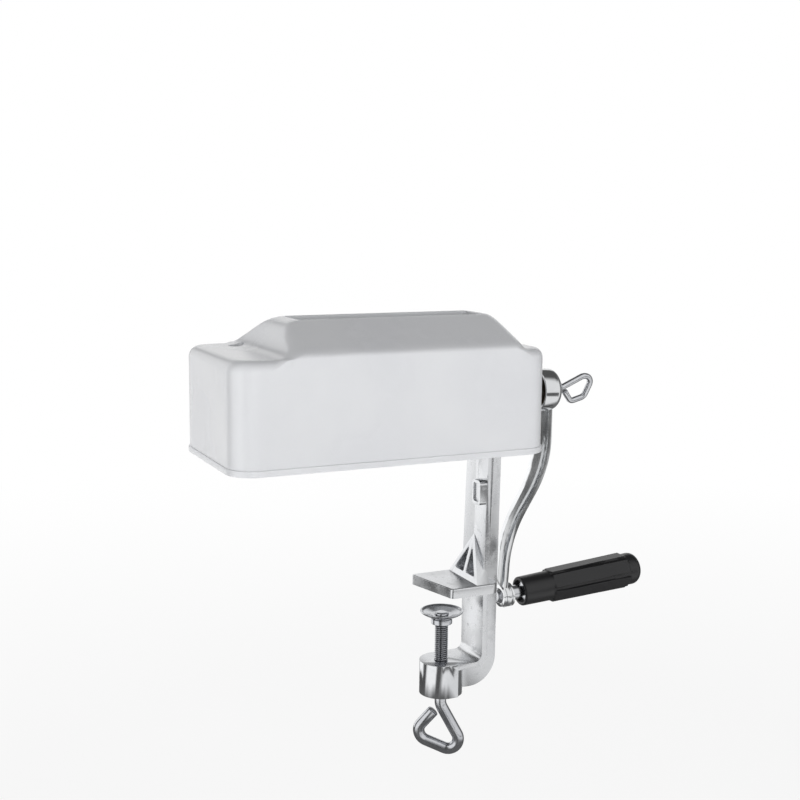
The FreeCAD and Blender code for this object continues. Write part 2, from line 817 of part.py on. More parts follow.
def bush(name, side, journal, start, length, flange_start=None):
    """A plain bearing bush round a shaft along X, with a thrust flange where one is placed."""
    body = new_body(name)
    place(body, y=side, z="roller_height")
    sleeve = new_sketch(body, "YZ", start)
    ring(sleeve, "0", "0", f"{journal} + bush_wall + running_gap - seat_gap")
    pad(body, sleeve, length)
    if flange_start:
        flange = new_sketch(body, "YZ", flange_start)
        ring(flange, "0", "0", f"{journal} + bush_wall + bush_flange")
        pad(body, flange, "bush_flange_thickness")
    bore = new_sketch(body, "YZ", start)
    ring(bore, "0", "0", f"{journal} + running_gap")
    pocket(body, bore, symmetric=True)
    return body


def comb(name, side, angle, fingers, first):
    """A sheet comb whose fingers reach between the blades to strip the meat off."""
    body = new_body(name)
    place(body, y=side, z="roller_height", axis=(1, 0, 0), angle=angle)
    spine = new_sketch(body, "XY", "-comb_thickness / 2")
    tab_low = f"{COMB_MIDDLE} - comb_tab_width / 2"
    tab_high = f"{COMB_MIDDLE} + comb_tab_width / 2"
    left = "left_plate_face + seat_gap"
    right = "head_plate_face - seat_gap"
    low = COMB_SPINE
    high = f"{COMB_SPINE} + comb_spine_width"
    draw(spine, [
        (left, low), (right, low), (right, tab_low),
        (HEAD_OUTER, tab_low), (HEAD_OUTER, tab_high), (right, tab_high),
        (right, high), (left, high), (left, tab_high),
        (LEFT_OUTER, tab_high), (LEFT_OUTER, tab_low), (left, tab_low),
    ])
    pad(body, spine, "comb_thickness")
    finger = new_sketch(body, "XY", "-comb_thickness / 2")
    half = "comb_finger_width / 2"
    draw(finger, [
        (f"{first} - {half}", f"{COMB_SPINE} + overlap"),
        (f"{first} - {half}", COMB_INNER, "comb_finger_width / 3"),
        (f"{first} + {half}", COMB_INNER, "comb_finger_width / 3"),
        (f"{first} + {half}", f"{COMB_SPINE} + overlap"),
    ])
    one = pad(body, finger, "comb_thickness")
    repeat_along(body, one, "blade_pitch", fingers)
    return body


def first_blade(count):
    """Where the first of some blades stands, so that they lie about the middle."""
    return f"{BLADES_MIDDLE} - ({count} - 1) / 2 * blade_pitch"


def blades(name, side, count):
    """The toothed discs of one roller, strung on its hexagonal shaft."""
    body = new_body(name)
    place(body, y=side, z="roller_height")
    disc = new_sketch(body, "YZ", f"{first_blade(count)} - blade_thickness / 2")
    corners = []
    for tooth in range(round(measure("blade_teeth"))):
        middle = f"{tooth} * 360 / blade_teeth"
        for offset, radius in (
            ("-blade_tip_half_angle", "blade_tip"),
            ("blade_tip_half_angle", "blade_tip"),
            ("180 / blade_teeth", "blade_root"),
        ):
            turn_text = f"({middle} + {offset})"
            corners.append((f"{radius} * cos({turn_text})", f"{radius} * sin({turn_text})"))
    draw(disc, corners)
    draw(disc, hex_corners("hex_flats + 2 * hex_fit"))
    one = pad(body, disc, "blade_thickness")
    repeat_along(body, one, "blade_pitch", count)
    return body


def spacers(name, side, count):
    """The round spacers between one roller's blades and at both its ends."""
    body = new_body(name)
    place(body, y=side, z="roller_height")
    first = f"{first_blade(count)} + blade_thickness / 2"
    last = f"{first_blade(count)} + ({count} - 1) * blade_pitch + blade_thickness / 2"
    left = "left_plate_face + end_play"
    right = "head_plate_face - end_play"
    runs = [
        (left, f"{first} - blade_thickness - ({left})"),
        (last, f"{right} - ({last})"),
        (first, "blade_pitch - blade_thickness"),
    ]
    for start, length in runs:
        sleeve = new_sketch(body, "YZ", start)
        ring(sleeve, "0", "0", "spacer_radius")
        draw(sleeve, hex_corners("hex_flats + 2 * hex_fit"))
        feature = pad(body, sleeve, length)
    repeat_along(body, feature, "blade_pitch", f"{count} - 1")
    return body


def shaft_left_end(body):
    """The journal, gear seat and thread that both shafts have on the left."""
    cylinder_along_x(body, GEAR_INNER, f"left_plate_face + end_play - ({GEAR_INNER})",
                     "left_journal")
    seat = new_sketch(body, "YZ", f"{GEAR_OUTER} - end_washer_thickness / 2")
    draw(seat, hex_corners("gear_seat_flats"))
    pad(body, seat, "gear_width + end_washer_thickness / 2")
    start = f"{GEAR_OUTER} - end_washer_thickness / 2 - shaft_thread_length"
    cylinder_along_x(body, start, "shaft_thread_length", "shaft_thread")


def hex_run(body):
    """The hexagonal length of a shaft, between the end plates."""
    run = new_sketch(body, "YZ", "left_plate_face + end_play")
    draw(run, hex_corners("hex_flats"))
    pad(body, run, "head_plate_face - left_plate_face - 2 * end_play")


def drive_shaft():
    """The rear roller's shaft, which runs out through the neck to the crank."""
    body = new_body("drive_shaft")
    place(body, y=ROLLER_SIDE, z="roller_height")
    hex_run(body)
    shaft_left_end(body)
    start = "head_plate_face - end_play"
    cylinder_along_x(body, start, f"hub_inner_face - ({start})", "drive_journal")
    square = new_sketch(body, "YZ", "hub_inner_face")
    draw(square, square_corners("crank_square", "crank_square_corner"))
    pad(body, square, "crank_socket_depth - end_play")
    hole = new_sketch(body, "YZ", "hub_inner_face + crank_socket_depth - end_play")
    ring(hole, "0", "0", "thumb_radius + running_gap")
    pocket(body, hole, "thumb_length", forward=False)
    return body


def driven_shaft():
    """The front roller's shaft, turned by its gear."""
    body = new_body("driven_shaft")
    place(body, y=f"-{ROLLER_SIDE}", z="roller_height")
    hex_run(body)
    shaft_left_end(body)
    start = "head_plate_face - end_play"
    cylinder_along_x(body, start, f"{HEAD_OUTER} + shaft_past_head - ({start})",
                     "driven_journal")
    return body


def gear(name, side, phase):
    """A spur gear whose flanks follow the involute of its pitch circle."""
    body = new_body(name)
    place(body, y=side, z="roller_height")
    pitch_radius = "gear_module * gear_teeth / 2"
    base_radius = f"{pitch_radius} * cos(20)"
    tip_radius = f"{pitch_radius} + gear_module"
    root_radius = f"{pitch_radius} - gear_module - gear_root_space"
    half_at_pitch = (f"(90 / gear_teeth - gear_backlash / 4 / ({pitch_radius}) * 180 / pi)")

    def half_angle(radius):
        """Half a tooth's angle where its flank crosses a radius."""
        lean = f"acos(({base_radius}) / ({radius}))"
        grown = f"(tan({lean}) - tan(20)) * 180 / pi - ({lean}) / 1 deg + 20"
        return f"({half_at_pitch} - ({grown}))"

    flank = [
        (root_radius, f"({half_at_pitch} + (tan(20) * 180 / pi - 20))"),
        (f"({base_radius}) * 1.02", half_angle(f"({base_radius}) * 1.02")),
        (pitch_radius, half_at_pitch),
        (f"({pitch_radius}) + gear_module / 2", half_angle(f"({pitch_radius}) + gear_module / 2")),
        (tip_radius, half_angle(tip_radius)),
    ]
    disc = new_sketch(body, "YZ", GEAR_OUTER)
    ring(disc, "0", "0", root_radius)
    draw(disc, hex_corners("gear_seat_flats + 2 * hex_fit"))
    pad(body, disc, "gear_width")
    middle = f"{phase} * 360 / gear_teeth"
    foot = f"{root_radius} - gear_root_space"
    corners = [polar(foot, f"{middle} - {flank[0][1]}")]
    corners += [polar(radius, f"{middle} - {half}") for radius, half in flank]
    corners += [polar(radius, f"{middle} + {half}") for radius, half in reversed(flank)]
    corners += [polar(foot, f"{middle} + {flank[0][1]}")]
    outline = new_sketch(body, "YZ", GEAR_OUTER)
    draw(outline, corners)
    tooth = pad(body, outline, "gear_width")
    repeat_round(body, tooth, "gear_teeth", axis="X_Axis")
    return body


def polar(radius, angle):
    """A place by its distance from the axis and its angle."""
    return f"({radius}) * cos({angle})", f"({radius}) * sin({angle})"


def end_fastener(kind, name, side):
    """The washer or nut that holds a gear on its shaft."""
    body = new_body(name)
    place(body, y=side, z="roller_height")
    washer_face = f"{GEAR_OUTER} - end_washer_thickness"
    if kind == "washer":
        sketch = new_sketch(body, "YZ", washer_face)
        ring(sketch, "0", "0", "end_washer_radius")
        ring(sketch, "0", "0", "gear_seat_flats / 2 / cos(30) + running_gap")
        pad(body, sketch, "end_washer_thickness")
    else:
        nut_on_x(body, f"{washer_face} - end_nut_thickness", "end_nut_flats",
                 "end_nut_thickness", "shaft_thread + seat_gap")
    return body


def cover():
    """The white moulded cover with its humped feed chute, open below."""
    body = new_body("cover")
    place(body, x=COVER_MIDDLE, z=COVER_BOTTOM)
    half_long = "cover_length / 2"
    half_wide = "cover_width / 2"
    band = new_sketch(body, "XY")
    draw(band, box_corners(
        f"-{half_long} - rim_band_proud", f"{half_long} + rim_band_proud",
        f"-{half_wide} - rim_band_proud", f"{half_wide} + rim_band_proud",
        "cover_corner + rim_band_proud"))
    pad(body, band, "rim_band_height")
    wall = new_sketch(body, "XY")
    draw(wall, box_corners(f"-{half_long}", half_long, f"-{half_wide}", half_wide,
                           "cover_corner"))
    pad(body, wall, "cover_height")
    soften(body, "cover_edge", lambda e: level(e, measure("cover_height")))
    hump(body, "PartDesign::AdditiveLoft", "0")

    inside = new_sketch(body, "XY")
    draw(inside, box_corners(
        f"-{half_long} + cover_wall", f"{half_long} - cover_wall",
        f"-{half_wide} + cover_wall", f"{half_wide} - cover_wall",
        "cover_corner - cover_wall"))
    pocket(body, inside, "cover_height - cover_wall")
    soften(body, "cover_edge_inside", lambda e: level(e, measure("cover_height - cover_wall")))
    before = body.Shape.Volume
    hump(body, "PartDesign::SubtractiveLoft", "cover_wall")
    check_cut(body, before)

    slot = new_sketch(body, "XY", "cover_height + hump_height / 2")
    draw(slot, box_corners("-slot_length / 2 + " + SLOT_MIDDLE, "slot_length / 2 + " + SLOT_MIDDLE,
                           "-slot_width / 2", "slot_width / 2", "slot_corner"))
    pocket(body, slot)

    screw_x = "cover_screw_left_inset - cover_length / 2"
    boss = new_sketch(body, "XY", f"{PLATE_TOP} - {COVER_BOTTOM}")
    ring(boss, screw_x, "cover_screw_side", "cover_screw_boss")
    pad(body, boss, "cover_wall / 2 + plate_top_space")
    recess = new_sketch(body, "XY", "cover_height - cover_screw_recess_depth")
    ring(recess, screw_x, "cover_screw_side", "cover_screw_recess")
    pocket(body, recess)
    hole = new_sketch(body, "XY", "cover_height / 2")
    ring(hole, screw_x, "cover_screw_side", "cover_screw_radius + cover_screw_space")
    pocket(body, hole)

    neck = new_sketch(body, "YZ", f"{half_long} - cover_wall - overlap")
    radius = "neck_radius + neck_space"
    ring(neck, ROLLER_SIDE, "cover_below_rollers", radius)
    pocket(body, neck)
    gap = new_sketch(body, "YZ", f"{half_long} - cover_wall - overlap")
    draw(gap, box_corners(f"{ROLLER_SIDE} - ({radius})", f"{ROLLER_SIDE} + ({radius})",
                          "-overlap", "cover_below_rollers"))
    pocket(body, gap)
    return body


def hump(body, kind, inset):
    """Loft the chute's hump, or its inside, straight between level sections.

    The ends rise in a cosine S. The long sides keep the wall's face up to the brow,
    round over it and then run straight up to the lip.
    """
    footing = new_sketch(body, "XY", f"cover_height - cover_edge - overlap - {inset}")
    hump_section(footing, 0.0, 0.0, inset)
    sections = [footing]
    for run in HUMP_RUNS:
        rise = (1 - math.cos(math.pi * run)) / 2
        section = new_sketch(body, "XY", f"cover_height + hump_height * {rise:.5f} - {inset}")
        hump_section(section, run, rise, inset)
        sections.append(section)
    loft = body.newObject(kind, "Hump")
    loft.Profile = sections[0]
    loft.Sections = sections[1:]
    loft.Ruled = True
    DOC.recompute()
    return loft


def hump_section(sketch, run, rise, inset):
    """One level section of the hump, by the shares of its run and height."""
    inward = f"({inset} * {1 - rise:.4f})"
    left = (f"{SLOT_MIDDLE} - slot_length / 2 - hump_lip"
            f" - hump_left_run * {1 - run:.4f} + {inward}")
    right = (f"{SLOT_MIDDLE} + slot_length / 2 + hump_lip"
             f" + hump_right_run * {1 - run:.4f} - {inward}")
    lip = "(slot_width / 2 + hump_lip)"
    spread = side_spread(rise)
    half = f"{lip} + (cover_width / 2 - {lip}) * {spread:.4f} - {inward}"
    corner = f"hump_top_corner + (hump_foot_corner - hump_top_corner) * {1 - rise:.4f}"
    draw(sketch, box_corners(left, right, f"-({half})", half, corner))


def side_spread(rise):
    """How far the long side still stands out, from 1 at the wall to 0 at the lip."""
    brow = measure("hump_brow_share")
    straight = 1 - (rise - brow / 2) / (1 - brow / 2)
    if rise >= brow:
        return straight
    ease = rise / brow
    return 1 - (1 - (1 - (brow / 2) / (1 - brow / 2))) * ease ** 2


def cover_screw():
    """The pan head screw that holds the cover to the left plate's ear."""
    body = new_body("cover_screw")
    place(body, x="cover_left + cover_screw_left_inset", y="cover_screw_side",
          z=f"{COVER_TOP} - cover_screw_recess_depth")
    profile = new_sketch(body, "XZ")
    tip = f"-({COVER_TOP} - cover_screw_recess_depth - {PLATE_TOP} + ear_thickness + overlap)"
    draw(profile, [
        ("0", tip),
        ("cover_screw_radius", tip),
        ("cover_screw_radius", "0"),
        ("cover_screw_recess - cover_screw_head_space", "0"),
        ("cover_screw_recess - cover_screw_head_space", "cover_screw_recess_depth / 2"),
        ("rod_end_radius", "cover_screw_recess_depth - cover_screw_sink"),
        ("0", "cover_screw_recess_depth - cover_screw_sink"),
    ])
    turn(body, profile)
    return body


def crank_arm():
    """The cast crank: hub, S-shaped arm of T section and the tilted eye."""
    arm = new_body("crank_arm")
    PIECES.remove(arm)
    arm.Label = "crank_arm_casting"
    place(arm, y=ROLLER_SIDE)
    eye_height = "roller_height - crank_radius"
    low_face = "eye_face - eye_rim_thickness - strip_thickness"
    rib_foot = f"{eye_height} + pin_head_radius + arm_rib_foot_space"
    strip = new_sketch(arm, "XZ")
    draw(strip, [
        ("strip_face", "roller_height"),
        ("strip_face", "arm_bend_top", "arm_bend_top_round"),
        ("arm_bend_low_face", "arm_bend_low", "arm_bend_low_round"),
        (low_face, eye_height),
        (f"{low_face} - strip_thickness", eye_height),
        ("arm_bend_low_face - strip_thickness - arm_fold_back", "arm_bend_low + arm_fold_rise",
         "arm_bend_low_round"),
        ("strip_face - strip_thickness", "arm_bend_top - arm_fold_rise",
         "arm_bend_top_round"),
        ("strip_face - strip_thickness", "roller_height"),
    ])
    pad(arm, strip, "strip_width", symmetric=True)
    rib = new_sketch(arm, "XZ")
    draw(rib, [
        ("strip_face - strip_thickness / 2", "roller_height"),
        ("strip_face - strip_thickness / 2", "arm_bend_top", "arm_bend_top_round"),
        ("arm_bend_low_face - strip_thickness / 2", "arm_bend_low", "arm_bend_low_round"),
        (f"{low_face} - strip_thickness / 2", rib_foot),
        (f"{low_face} - strip_thickness", rib_foot),
        (f"{low_face} - arm_rib_eye", f"{eye_height} + eye_radius + arm_rib_rise"),
        ("arm_bend_low_face - arm_rib_eye", "arm_bend_low + arm_rib_rise", "arm_bend_low_round"),
        ("strip_face - arm_rib_hub", "arm_bend_top", "arm_bend_top_round"),
        ("strip_face - arm_rib_hub", "roller_height"),
    ])
    pad(arm, rib, "arm_rib_thickness", symmetric=True)
    hub = new_sketch(arm, "XZ")
    bind(hub, "AttachmentOffset.Base.y", "roller_height")
    draw(hub, [
        ("hub_inner_face", "0"),
        ("hub_outer_face", "0"),
        ("hub_outer_face", "hub_radius", "hub_round"),
        ("hub_inner_face", "hub_radius", "hub_edge"),
    ])
    turn(arm, hub, "H_Axis")
    socket = new_sketch(arm, "YZ", "hub_inner_face")
    half = "(crank_square / 2 + hex_fit)"
    low = f"roller_height - {half}"
    high = f"roller_height + {half}"
    draw(socket, box_corners(f"-{half}", half, low, high, "crank_square_corner"))
    pocket(arm, socket, "crank_socket_depth")
    hole = new_sketch(arm, "YZ", "hub_inner_face")
    ring(hole, "0", "roller_height", "thumb_radius + thumb_hole_space")
    pocket(arm, hole)

    eye = eye_bar("crank_eye", "-eye_length", "eye_length", "eye_radius")
    rim = eye_bar("crank_eye_rim", "-eye_rim_thickness", "eye_rim_thickness",
                  "eye_rim_radius")
    disc = eye_bar("crank_eye_disc", "-eye_rim_thickness - eye_disc_back",
                   "strip_thickness", "eye_rim_radius")
    whole = DOC.addObject("Part::MultiFuse", "crank_whole")
    whole.Shapes = [arm, eye, rim, disc]
    bore = eye_bar("crank_eye_bore", "-eye_length - eye_bore_overrun",
                   "eye_length + 2 * eye_bore_overrun",
                   "pin_radius + seat_gap")
    cut = DOC.addObject("Part::Cut", "crank_arm")
    cut.Base = whole
    cut.Tool = bore
    cut.Label = "crank_arm"
    DOC.recompute()
    PIECES.append(cut)
    return cut


def eye_bar(name, start, length, radius):
    """A round bar on the eye's leaning axis, placed from the eye's outer face."""
    bar = DOC.addObject("Part::Cylinder", name)
    bar.Placement = FreeCAD.Placement(
        FreeCAD.Vector(0, 0, 0),
        FreeCAD.Rotation(FreeCAD.Vector(0, 1, 0), 90 - measure("grip_tilt")))
    bind(bar, "Placement.Rotation.Angle", "90 - grip_tilt")
    bind(bar, "Placement.Base.x", f"eye_face + ({start}) * cos(grip_tilt)")
    bind(bar, "Placement.Base.y", ROLLER_SIDE)
    bind(bar, "Placement.Base.z",
         f"roller_height - crank_radius + ({start}) * sin(grip_tilt)")
    bind(bar, "Radius", radius)
    bind(bar, "Height", length)
    return bar


def on_grip_axis(body):
    """Put a body's Z axis on the grip's axis, with Z zero at the eye's outer face."""
    place(body, x="eye_face", y=ROLLER_SIDE, z="roller_height - crank_radius",
          axis=(0, 1, 0), angle="90 - grip_tilt")


def grip_pin():
    """The pin riveted in the crank's eye, with the flange that keeps the grip on."""
    body = new_body("grip_pin")
    on_grip_axis(body)
    profile = new_sketch(body, "XZ")
    flange_low = "grip_start + pin_flange_start"
    flange_high = "grip_start + pin_flange_start + pin_flange_thickness"
    back = "-eye_length"
    draw(profile, [
        ("0", f"{back} - pin_head_thickness"),
        ("pin_head_radius - pin_head_bevel", f"{back} - pin_head_thickness"),
        ("pin_head_radius", back),
        ("pin_radius", back),
        ("pin_radius", "0"),
        ("pin_collar_radius", "0"),
        ("pin_collar_radius", "grip_start - pin_collar_space"),
        ("pin_radius", "grip_start - pin_collar_space"),
        ("pin_radius", flange_low),
        ("pin_flange_radius", flange_low),
        ("pin_flange_radius", flange_high),
        ("pin_radius", flange_high),
        ("pin_radius", "grip_start + pin_end"),
        ("0", "grip_start + pin_end"),
    ])
    turn(body, profile)
    return body


def grip():
    """The black grip: a tapered core, a hollow mouth, flat ribs and a domed end."""
    body = new_body("grip")
    on_grip_axis(body)
    profile = new_sketch(body, "XZ")
    start = "grip_start"
    mouth = "pin_flange_start + pin_flange_thickness + pin_collar_space"
    end = "grip_start + grip_length"
    draw(profile, [
        ("ferrule_radius + seat_gap", start),
        ("grip_small_radius", start, "grip_lip"),
        ("grip_large_radius", f"{end} - grip_dome - grip_dome_start"),
        ("grip_large_radius - grip_dome_inset", f"{end} - grip_dome_crown", "grip_dome"),
        ("0", end),
        ("0", f"{start} + grip_bore_depth"),
        ("pin_radius + running_gap", f"{start} + grip_bore_depth"),
        ("pin_radius + running_gap", f"{start} + {mouth}"),
        ("ferrule_radius + seat_gap", f"{start} + {mouth}"),
    ])
    turn(body, profile)
    half = "grip_rib_width / 2"
    ends = []
    for along_grip in ("grip_rib_start", "grip_rib_end"):
        share = f"({along_grip}) / (grip_length - grip_dome - grip_dome_start)"
        core = f"grip_small_radius + (grip_large_radius - grip_small_radius) * {share}"
        outer = f"sqrt(({core} + grip_rib_height)^2 - ({half})^2)"
        ends.append(new_sketch(body, "XY", f"{start} + {along_grip}"))
        draw(ends[-1], [
            (f"-{half}", f"{outer} - grip_rib_height - grip_rib_root"),
            (half, f"{outer} - grip_rib_height - grip_rib_root"),
            (half, outer, "grip_rib_edge"),
            (f"-{half}", outer, "grip_rib_edge"),
        ])
    rib = body.newObject("PartDesign::AdditiveLoft", "Loft")
    rib.Profile = ends[0]
    rib.Sections = [ends[1]]
    rib.Ruled = True
    DOC.recompute()
    repeat_round(body, rib, "grip_rib_count")
    return body


def grip_ferrule():
    """The steel ring pressed in the grip's mouth, which traps the pin's flange."""
    body = new_body("grip_ferrule")
    on_grip_axis(body)
    sketch = new_sketch(body, "XY", "grip_start + ferrule_sink")
    ring(sketch, "0", "0", "ferrule_radius")
    ring(sketch, "0", "0", "pin_radius + running_gap")
    pad(body, sketch, "ferrule_thickness")
    return body


def thumb_screw():
    """The screw that holds the crank on, with a bent wire loop to turn it by."""
    body = new_body("thumb_screw")
    place(body, y=ROLLER_SIDE, z="roller_height", axis=(1, 0, 0), angle="thumb_loop_turn")
    face = "hub_outer_face + thumb_washer_thickness"
    profile = new_sketch(body, "XZ")
    draw(profile, [
        (f"{face} - thumb_length", "0"),
        (f"{face} + thumb_shoulder_thickness", "0"),
        (f"{face} + thumb_shoulder_thickness", "thumb_shoulder - thumb_shoulder_bevel"),
        (f"{face} + thumb_shoulder_thickness / 2", "thumb_shoulder"),
        (face, "thumb_shoulder"),
        (face, "thumb_radius"),
        (f"{face} - thumb_length", "thumb_radius"),
    ])
    turn(body, profile, "H_Axis")
    start = f"{face} + thumb_shoulder_thickness / 2"
    far = f"{face} + thumb_loop_reach"
    path = new_sketch(body, "XZ")
    draw(path, [
        (start, "0"),
        (f"{start} + thumb_loop_neck", "0", "thumb_loop_neck_bend"),
        (far, "thumb_loop_rise", "thumb_loop_far_bend"),
        (f"{face} + thumb_loop_foot", "-thumb_loop_foot_drop", "thumb_loop_foot_bend"),
        (f"{face} + thumb_loop_heel", "-thumb_loop_heel_drop", "thumb_loop_heel_bend"),
        (f"{face} + thumb_loop_end", "-thumb_loop_end_drop"),
    ], closed=False)
    rod = new_sketch(body, "YZ", start)
    ring(rod, "0", "0", "thumb_rod")
    DOC.recompute()
    along(body, path, rod)
    return body


def thumb_washer():
    """The washer under the thumb screw's shoulder."""
    body = new_body("thumb_washer")
    place(body, y=ROLLER_SIDE, z="roller_height")
    sketch = new_sketch(body, "YZ", "hub_outer_face")
    ring(sketch, "0", "0", "thumb_washer_radius")
    ring(sketch, "0", "0", "thumb_radius + running_gap")
    pad(body, sketch, "thumb_washer_thickness")
    return body


def clamp_screw():
    """The clamp screw: riveted spigot above, shank, and a bent loop to turn it by."""
    body = new_body("clamp_screw")
    place(body, axis=(0, 0, 1), angle="clamp_loop_turn")
    profile = new_sketch(body, "XZ")
    rivet_low = "pad_floor + pad_play"
    draw(profile, [
        ("0", "screw_bottom"),
        ("screw_radius", "screw_bottom"),
        ("screw_radius", "collar_top"),
        ("spigot_radius", "collar_top"),
        ("spigot_radius", rivet_low),
        ("rivet_radius", rivet_low),
        ("rivet_radius - rivet_bevel", f"{rivet_low} + rivet_thickness"),
        ("0", f"{rivet_low} + rivet_thickness"),
    ])
    turn(body, profile)
    path = new_sketch(body, "XZ")
    draw(path, [
        ("0", "screw_bottom + overlap"),
        ("0", "-clamp_loop_shoulder", "clamp_loop_shoulder_bend"),
        ("clamp_loop_right", "-clamp_loop_right_drop", "clamp_loop_right_bend"),
        ("-clamp_loop_left", "-clamp_loop_left_drop", "clamp_loop_left_bend"),
        ("-clamp_loop_end", "-clamp_loop_end_drop"),
    ], closed=False)
    rod = new_sketch(body, "XY", "screw_bottom + overlap")
    ring(rod, "0", "0", "clamp_loop_rod")
    DOC.recompute()
    along(body, path, rod)
    return body


def clamp_collar():
    """The collar pressed on the clamp screw, which pushes the pad."""
    body = new_body("clamp_collar")
    sketch = new_sketch(body, "XY", "collar_top - collar_thickness")
    ring(sketch, "0", "0", "collar_radius")
    ring(sketch, "0", "0", "screw_radius + seat_gap")
    pad(body, sketch, "collar_thickness")
    return body


def clamp_pad():
    """The dished pad that bears on the underside of the table."""
    body = new_body("clamp_pad")
    profile = new_sketch(body, "XZ")
    bore = "spigot_radius + running_gap"
    draw(profile, [
        (bore, "collar_top + pad_play"),
        ("pad_socket_radius", "collar_top + pad_play"),
        ("pad_socket_radius", "pad_floor - pad_thickness"),
        ("pad_radius - pad_bevel", "pad_rim - pad_thickness - pad_bevel_drop"),
        ("pad_radius", "pad_rim - pad_thickness / 2"),
        ("pad_radius", "pad_rim"),
        ("pad_radius - pad_lip", "pad_rim"),
        ("pad_socket_radius", "pad_floor"),
        (bore, "pad_floor"),
    ])
    turn(body, profile)
    return body


def build():
    """Make every piece."""
    frame_casting()
    left_end_plate()
    for name in ROD_PLACES:
        tie_rod(name)
    tie_rod_nuts()
    for name, side in (("drive_left_bush", ROLLER_SIDE), ("driven_left_bush", f"-{ROLLER_SIDE}")):
        bush(name, side, "left_journal", LEFT_OUTER, "plate_thickness",
             f"{LEFT_OUTER} - bush_flange_thickness")
    bush("neck_bush", ROLLER_SIDE, "drive_journal", "neck_end - neck_bush_length",
         "neck_bush_length", "neck_end")
    bush("drive_head_bush", ROLLER_SIDE, "drive_journal", "head_plate_face",
         "neck_bush_length")
    bush("driven_head_bush", f"-{ROLLER_SIDE}", "driven_journal", "head_plate_face",
         "plate_thickness", HEAD_OUTER)
    drive_count = "blade_count"
    driven_count = "(blade_count - 1)"
    comb("rear_comb", ROLLER_SIDE, "-comb_angle", f"{drive_count} - 1",
         f"{first_blade(drive_count)} + blade_pitch / 2")
    comb("front_comb", f"-{ROLLER_SIDE}", "180 + comb_angle", f"{driven_count} - 1",
         f"{first_blade(driven_count)} + blade_pitch / 2")
    drive_shaft()
    driven_shaft()
    for name, side, count, phase in (
        ("drive", ROLLER_SIDE, drive_count, "0"),
        ("driven", f"-{ROLLER_SIDE}", driven_count, "0.5"),
    ):
        blades(f"{name}_blades", side, count)
        spacers(f"{name}_spacers", side, count)
        gear(f"{name}_gear", side, phase)
        end_fastener("washer", f"{name}_gear_washer", side)
        end_fastener("nut", f"{name}_gear_nut", side)
    cover()
    cover_screw()
    crank_arm()
    grip_pin()
    grip()
    grip_ferrule()
    thumb_screw()
    thumb_washer()
    clamp_screw()
    clamp_collar()
    clamp_pad()


def check_and_write():
    """Check every object and piece, then write each piece to its own file."""
    DOC.recompute()
    for thing in DOC.Objects:
        if "Invalid" in thing.State or "Error" in thing.State:
            raise RuntimeError(f"{thing.Name} ({thing.Label}) failed")
    for piece in PIECES:
        if piece.Shape.isNull() or not piece.Shape.isValid():
            raise RuntimeError(f"{piece.Label} has no valid shape")
    os.makedirs("parts", exist_ok=True)
    for piece in PIECES:
        piece.Shape.exportStep(f"parts/{piece.Label}.step")
        box = piece.Shape.BoundBox
        print(f"{piece.Label}: {len(piece.Shape.Solids)} solids, "
              f"{box.XLength:.1f} x {box.YLength:.1f} x {box.ZLength:.1f} mm")


fill_sheet()
build()
check_and_write()
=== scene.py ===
"""Looks of the hand crank meat tenderizer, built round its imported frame.

Metres and +Z up as in the frame, with sizes written in millimetres and scaled once.
The pieces that show are new surfaces; the hidden ones keep their solids and get finishes.
"""

import logging
from dataclasses import dataclass, field
from enum import Enum
from typing import Any, Sequence

import bmesh
import bpy
import numpy as np
from mathutils import Matrix, Vector


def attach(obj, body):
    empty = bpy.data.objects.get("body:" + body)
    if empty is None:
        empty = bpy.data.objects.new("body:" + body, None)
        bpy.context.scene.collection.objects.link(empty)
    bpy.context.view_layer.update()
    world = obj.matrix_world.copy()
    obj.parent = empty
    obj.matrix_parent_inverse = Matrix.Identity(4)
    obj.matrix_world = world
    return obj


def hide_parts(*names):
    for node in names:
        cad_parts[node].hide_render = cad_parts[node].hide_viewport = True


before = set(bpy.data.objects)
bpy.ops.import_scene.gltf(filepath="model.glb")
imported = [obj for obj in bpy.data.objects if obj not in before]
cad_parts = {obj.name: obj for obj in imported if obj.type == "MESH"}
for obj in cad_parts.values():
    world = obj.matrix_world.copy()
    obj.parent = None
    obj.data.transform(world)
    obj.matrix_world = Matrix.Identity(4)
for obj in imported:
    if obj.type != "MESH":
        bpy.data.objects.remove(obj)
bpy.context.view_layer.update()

LOG = logging.getLogger("tenderizer")
MM = 0.001
ROLLER_Z = 114.0
ROLLER_Y = 14.0
WELD = 1e-6
SLIVER = 1e-7
SOLID_WELD = 2e-6
SOLID_FLAT = 0.4
CREASE = 34.0
Array = np.ndarray
Piece = bpy.types.Object
Numbers = Sequence[float]
Three = tuple[float, float, float]
Colour = Three
Span = tuple[float, float]
Window = tuple[float, float, float, float]
Line = Sequence[Sequence[float]]


# Shader graphs


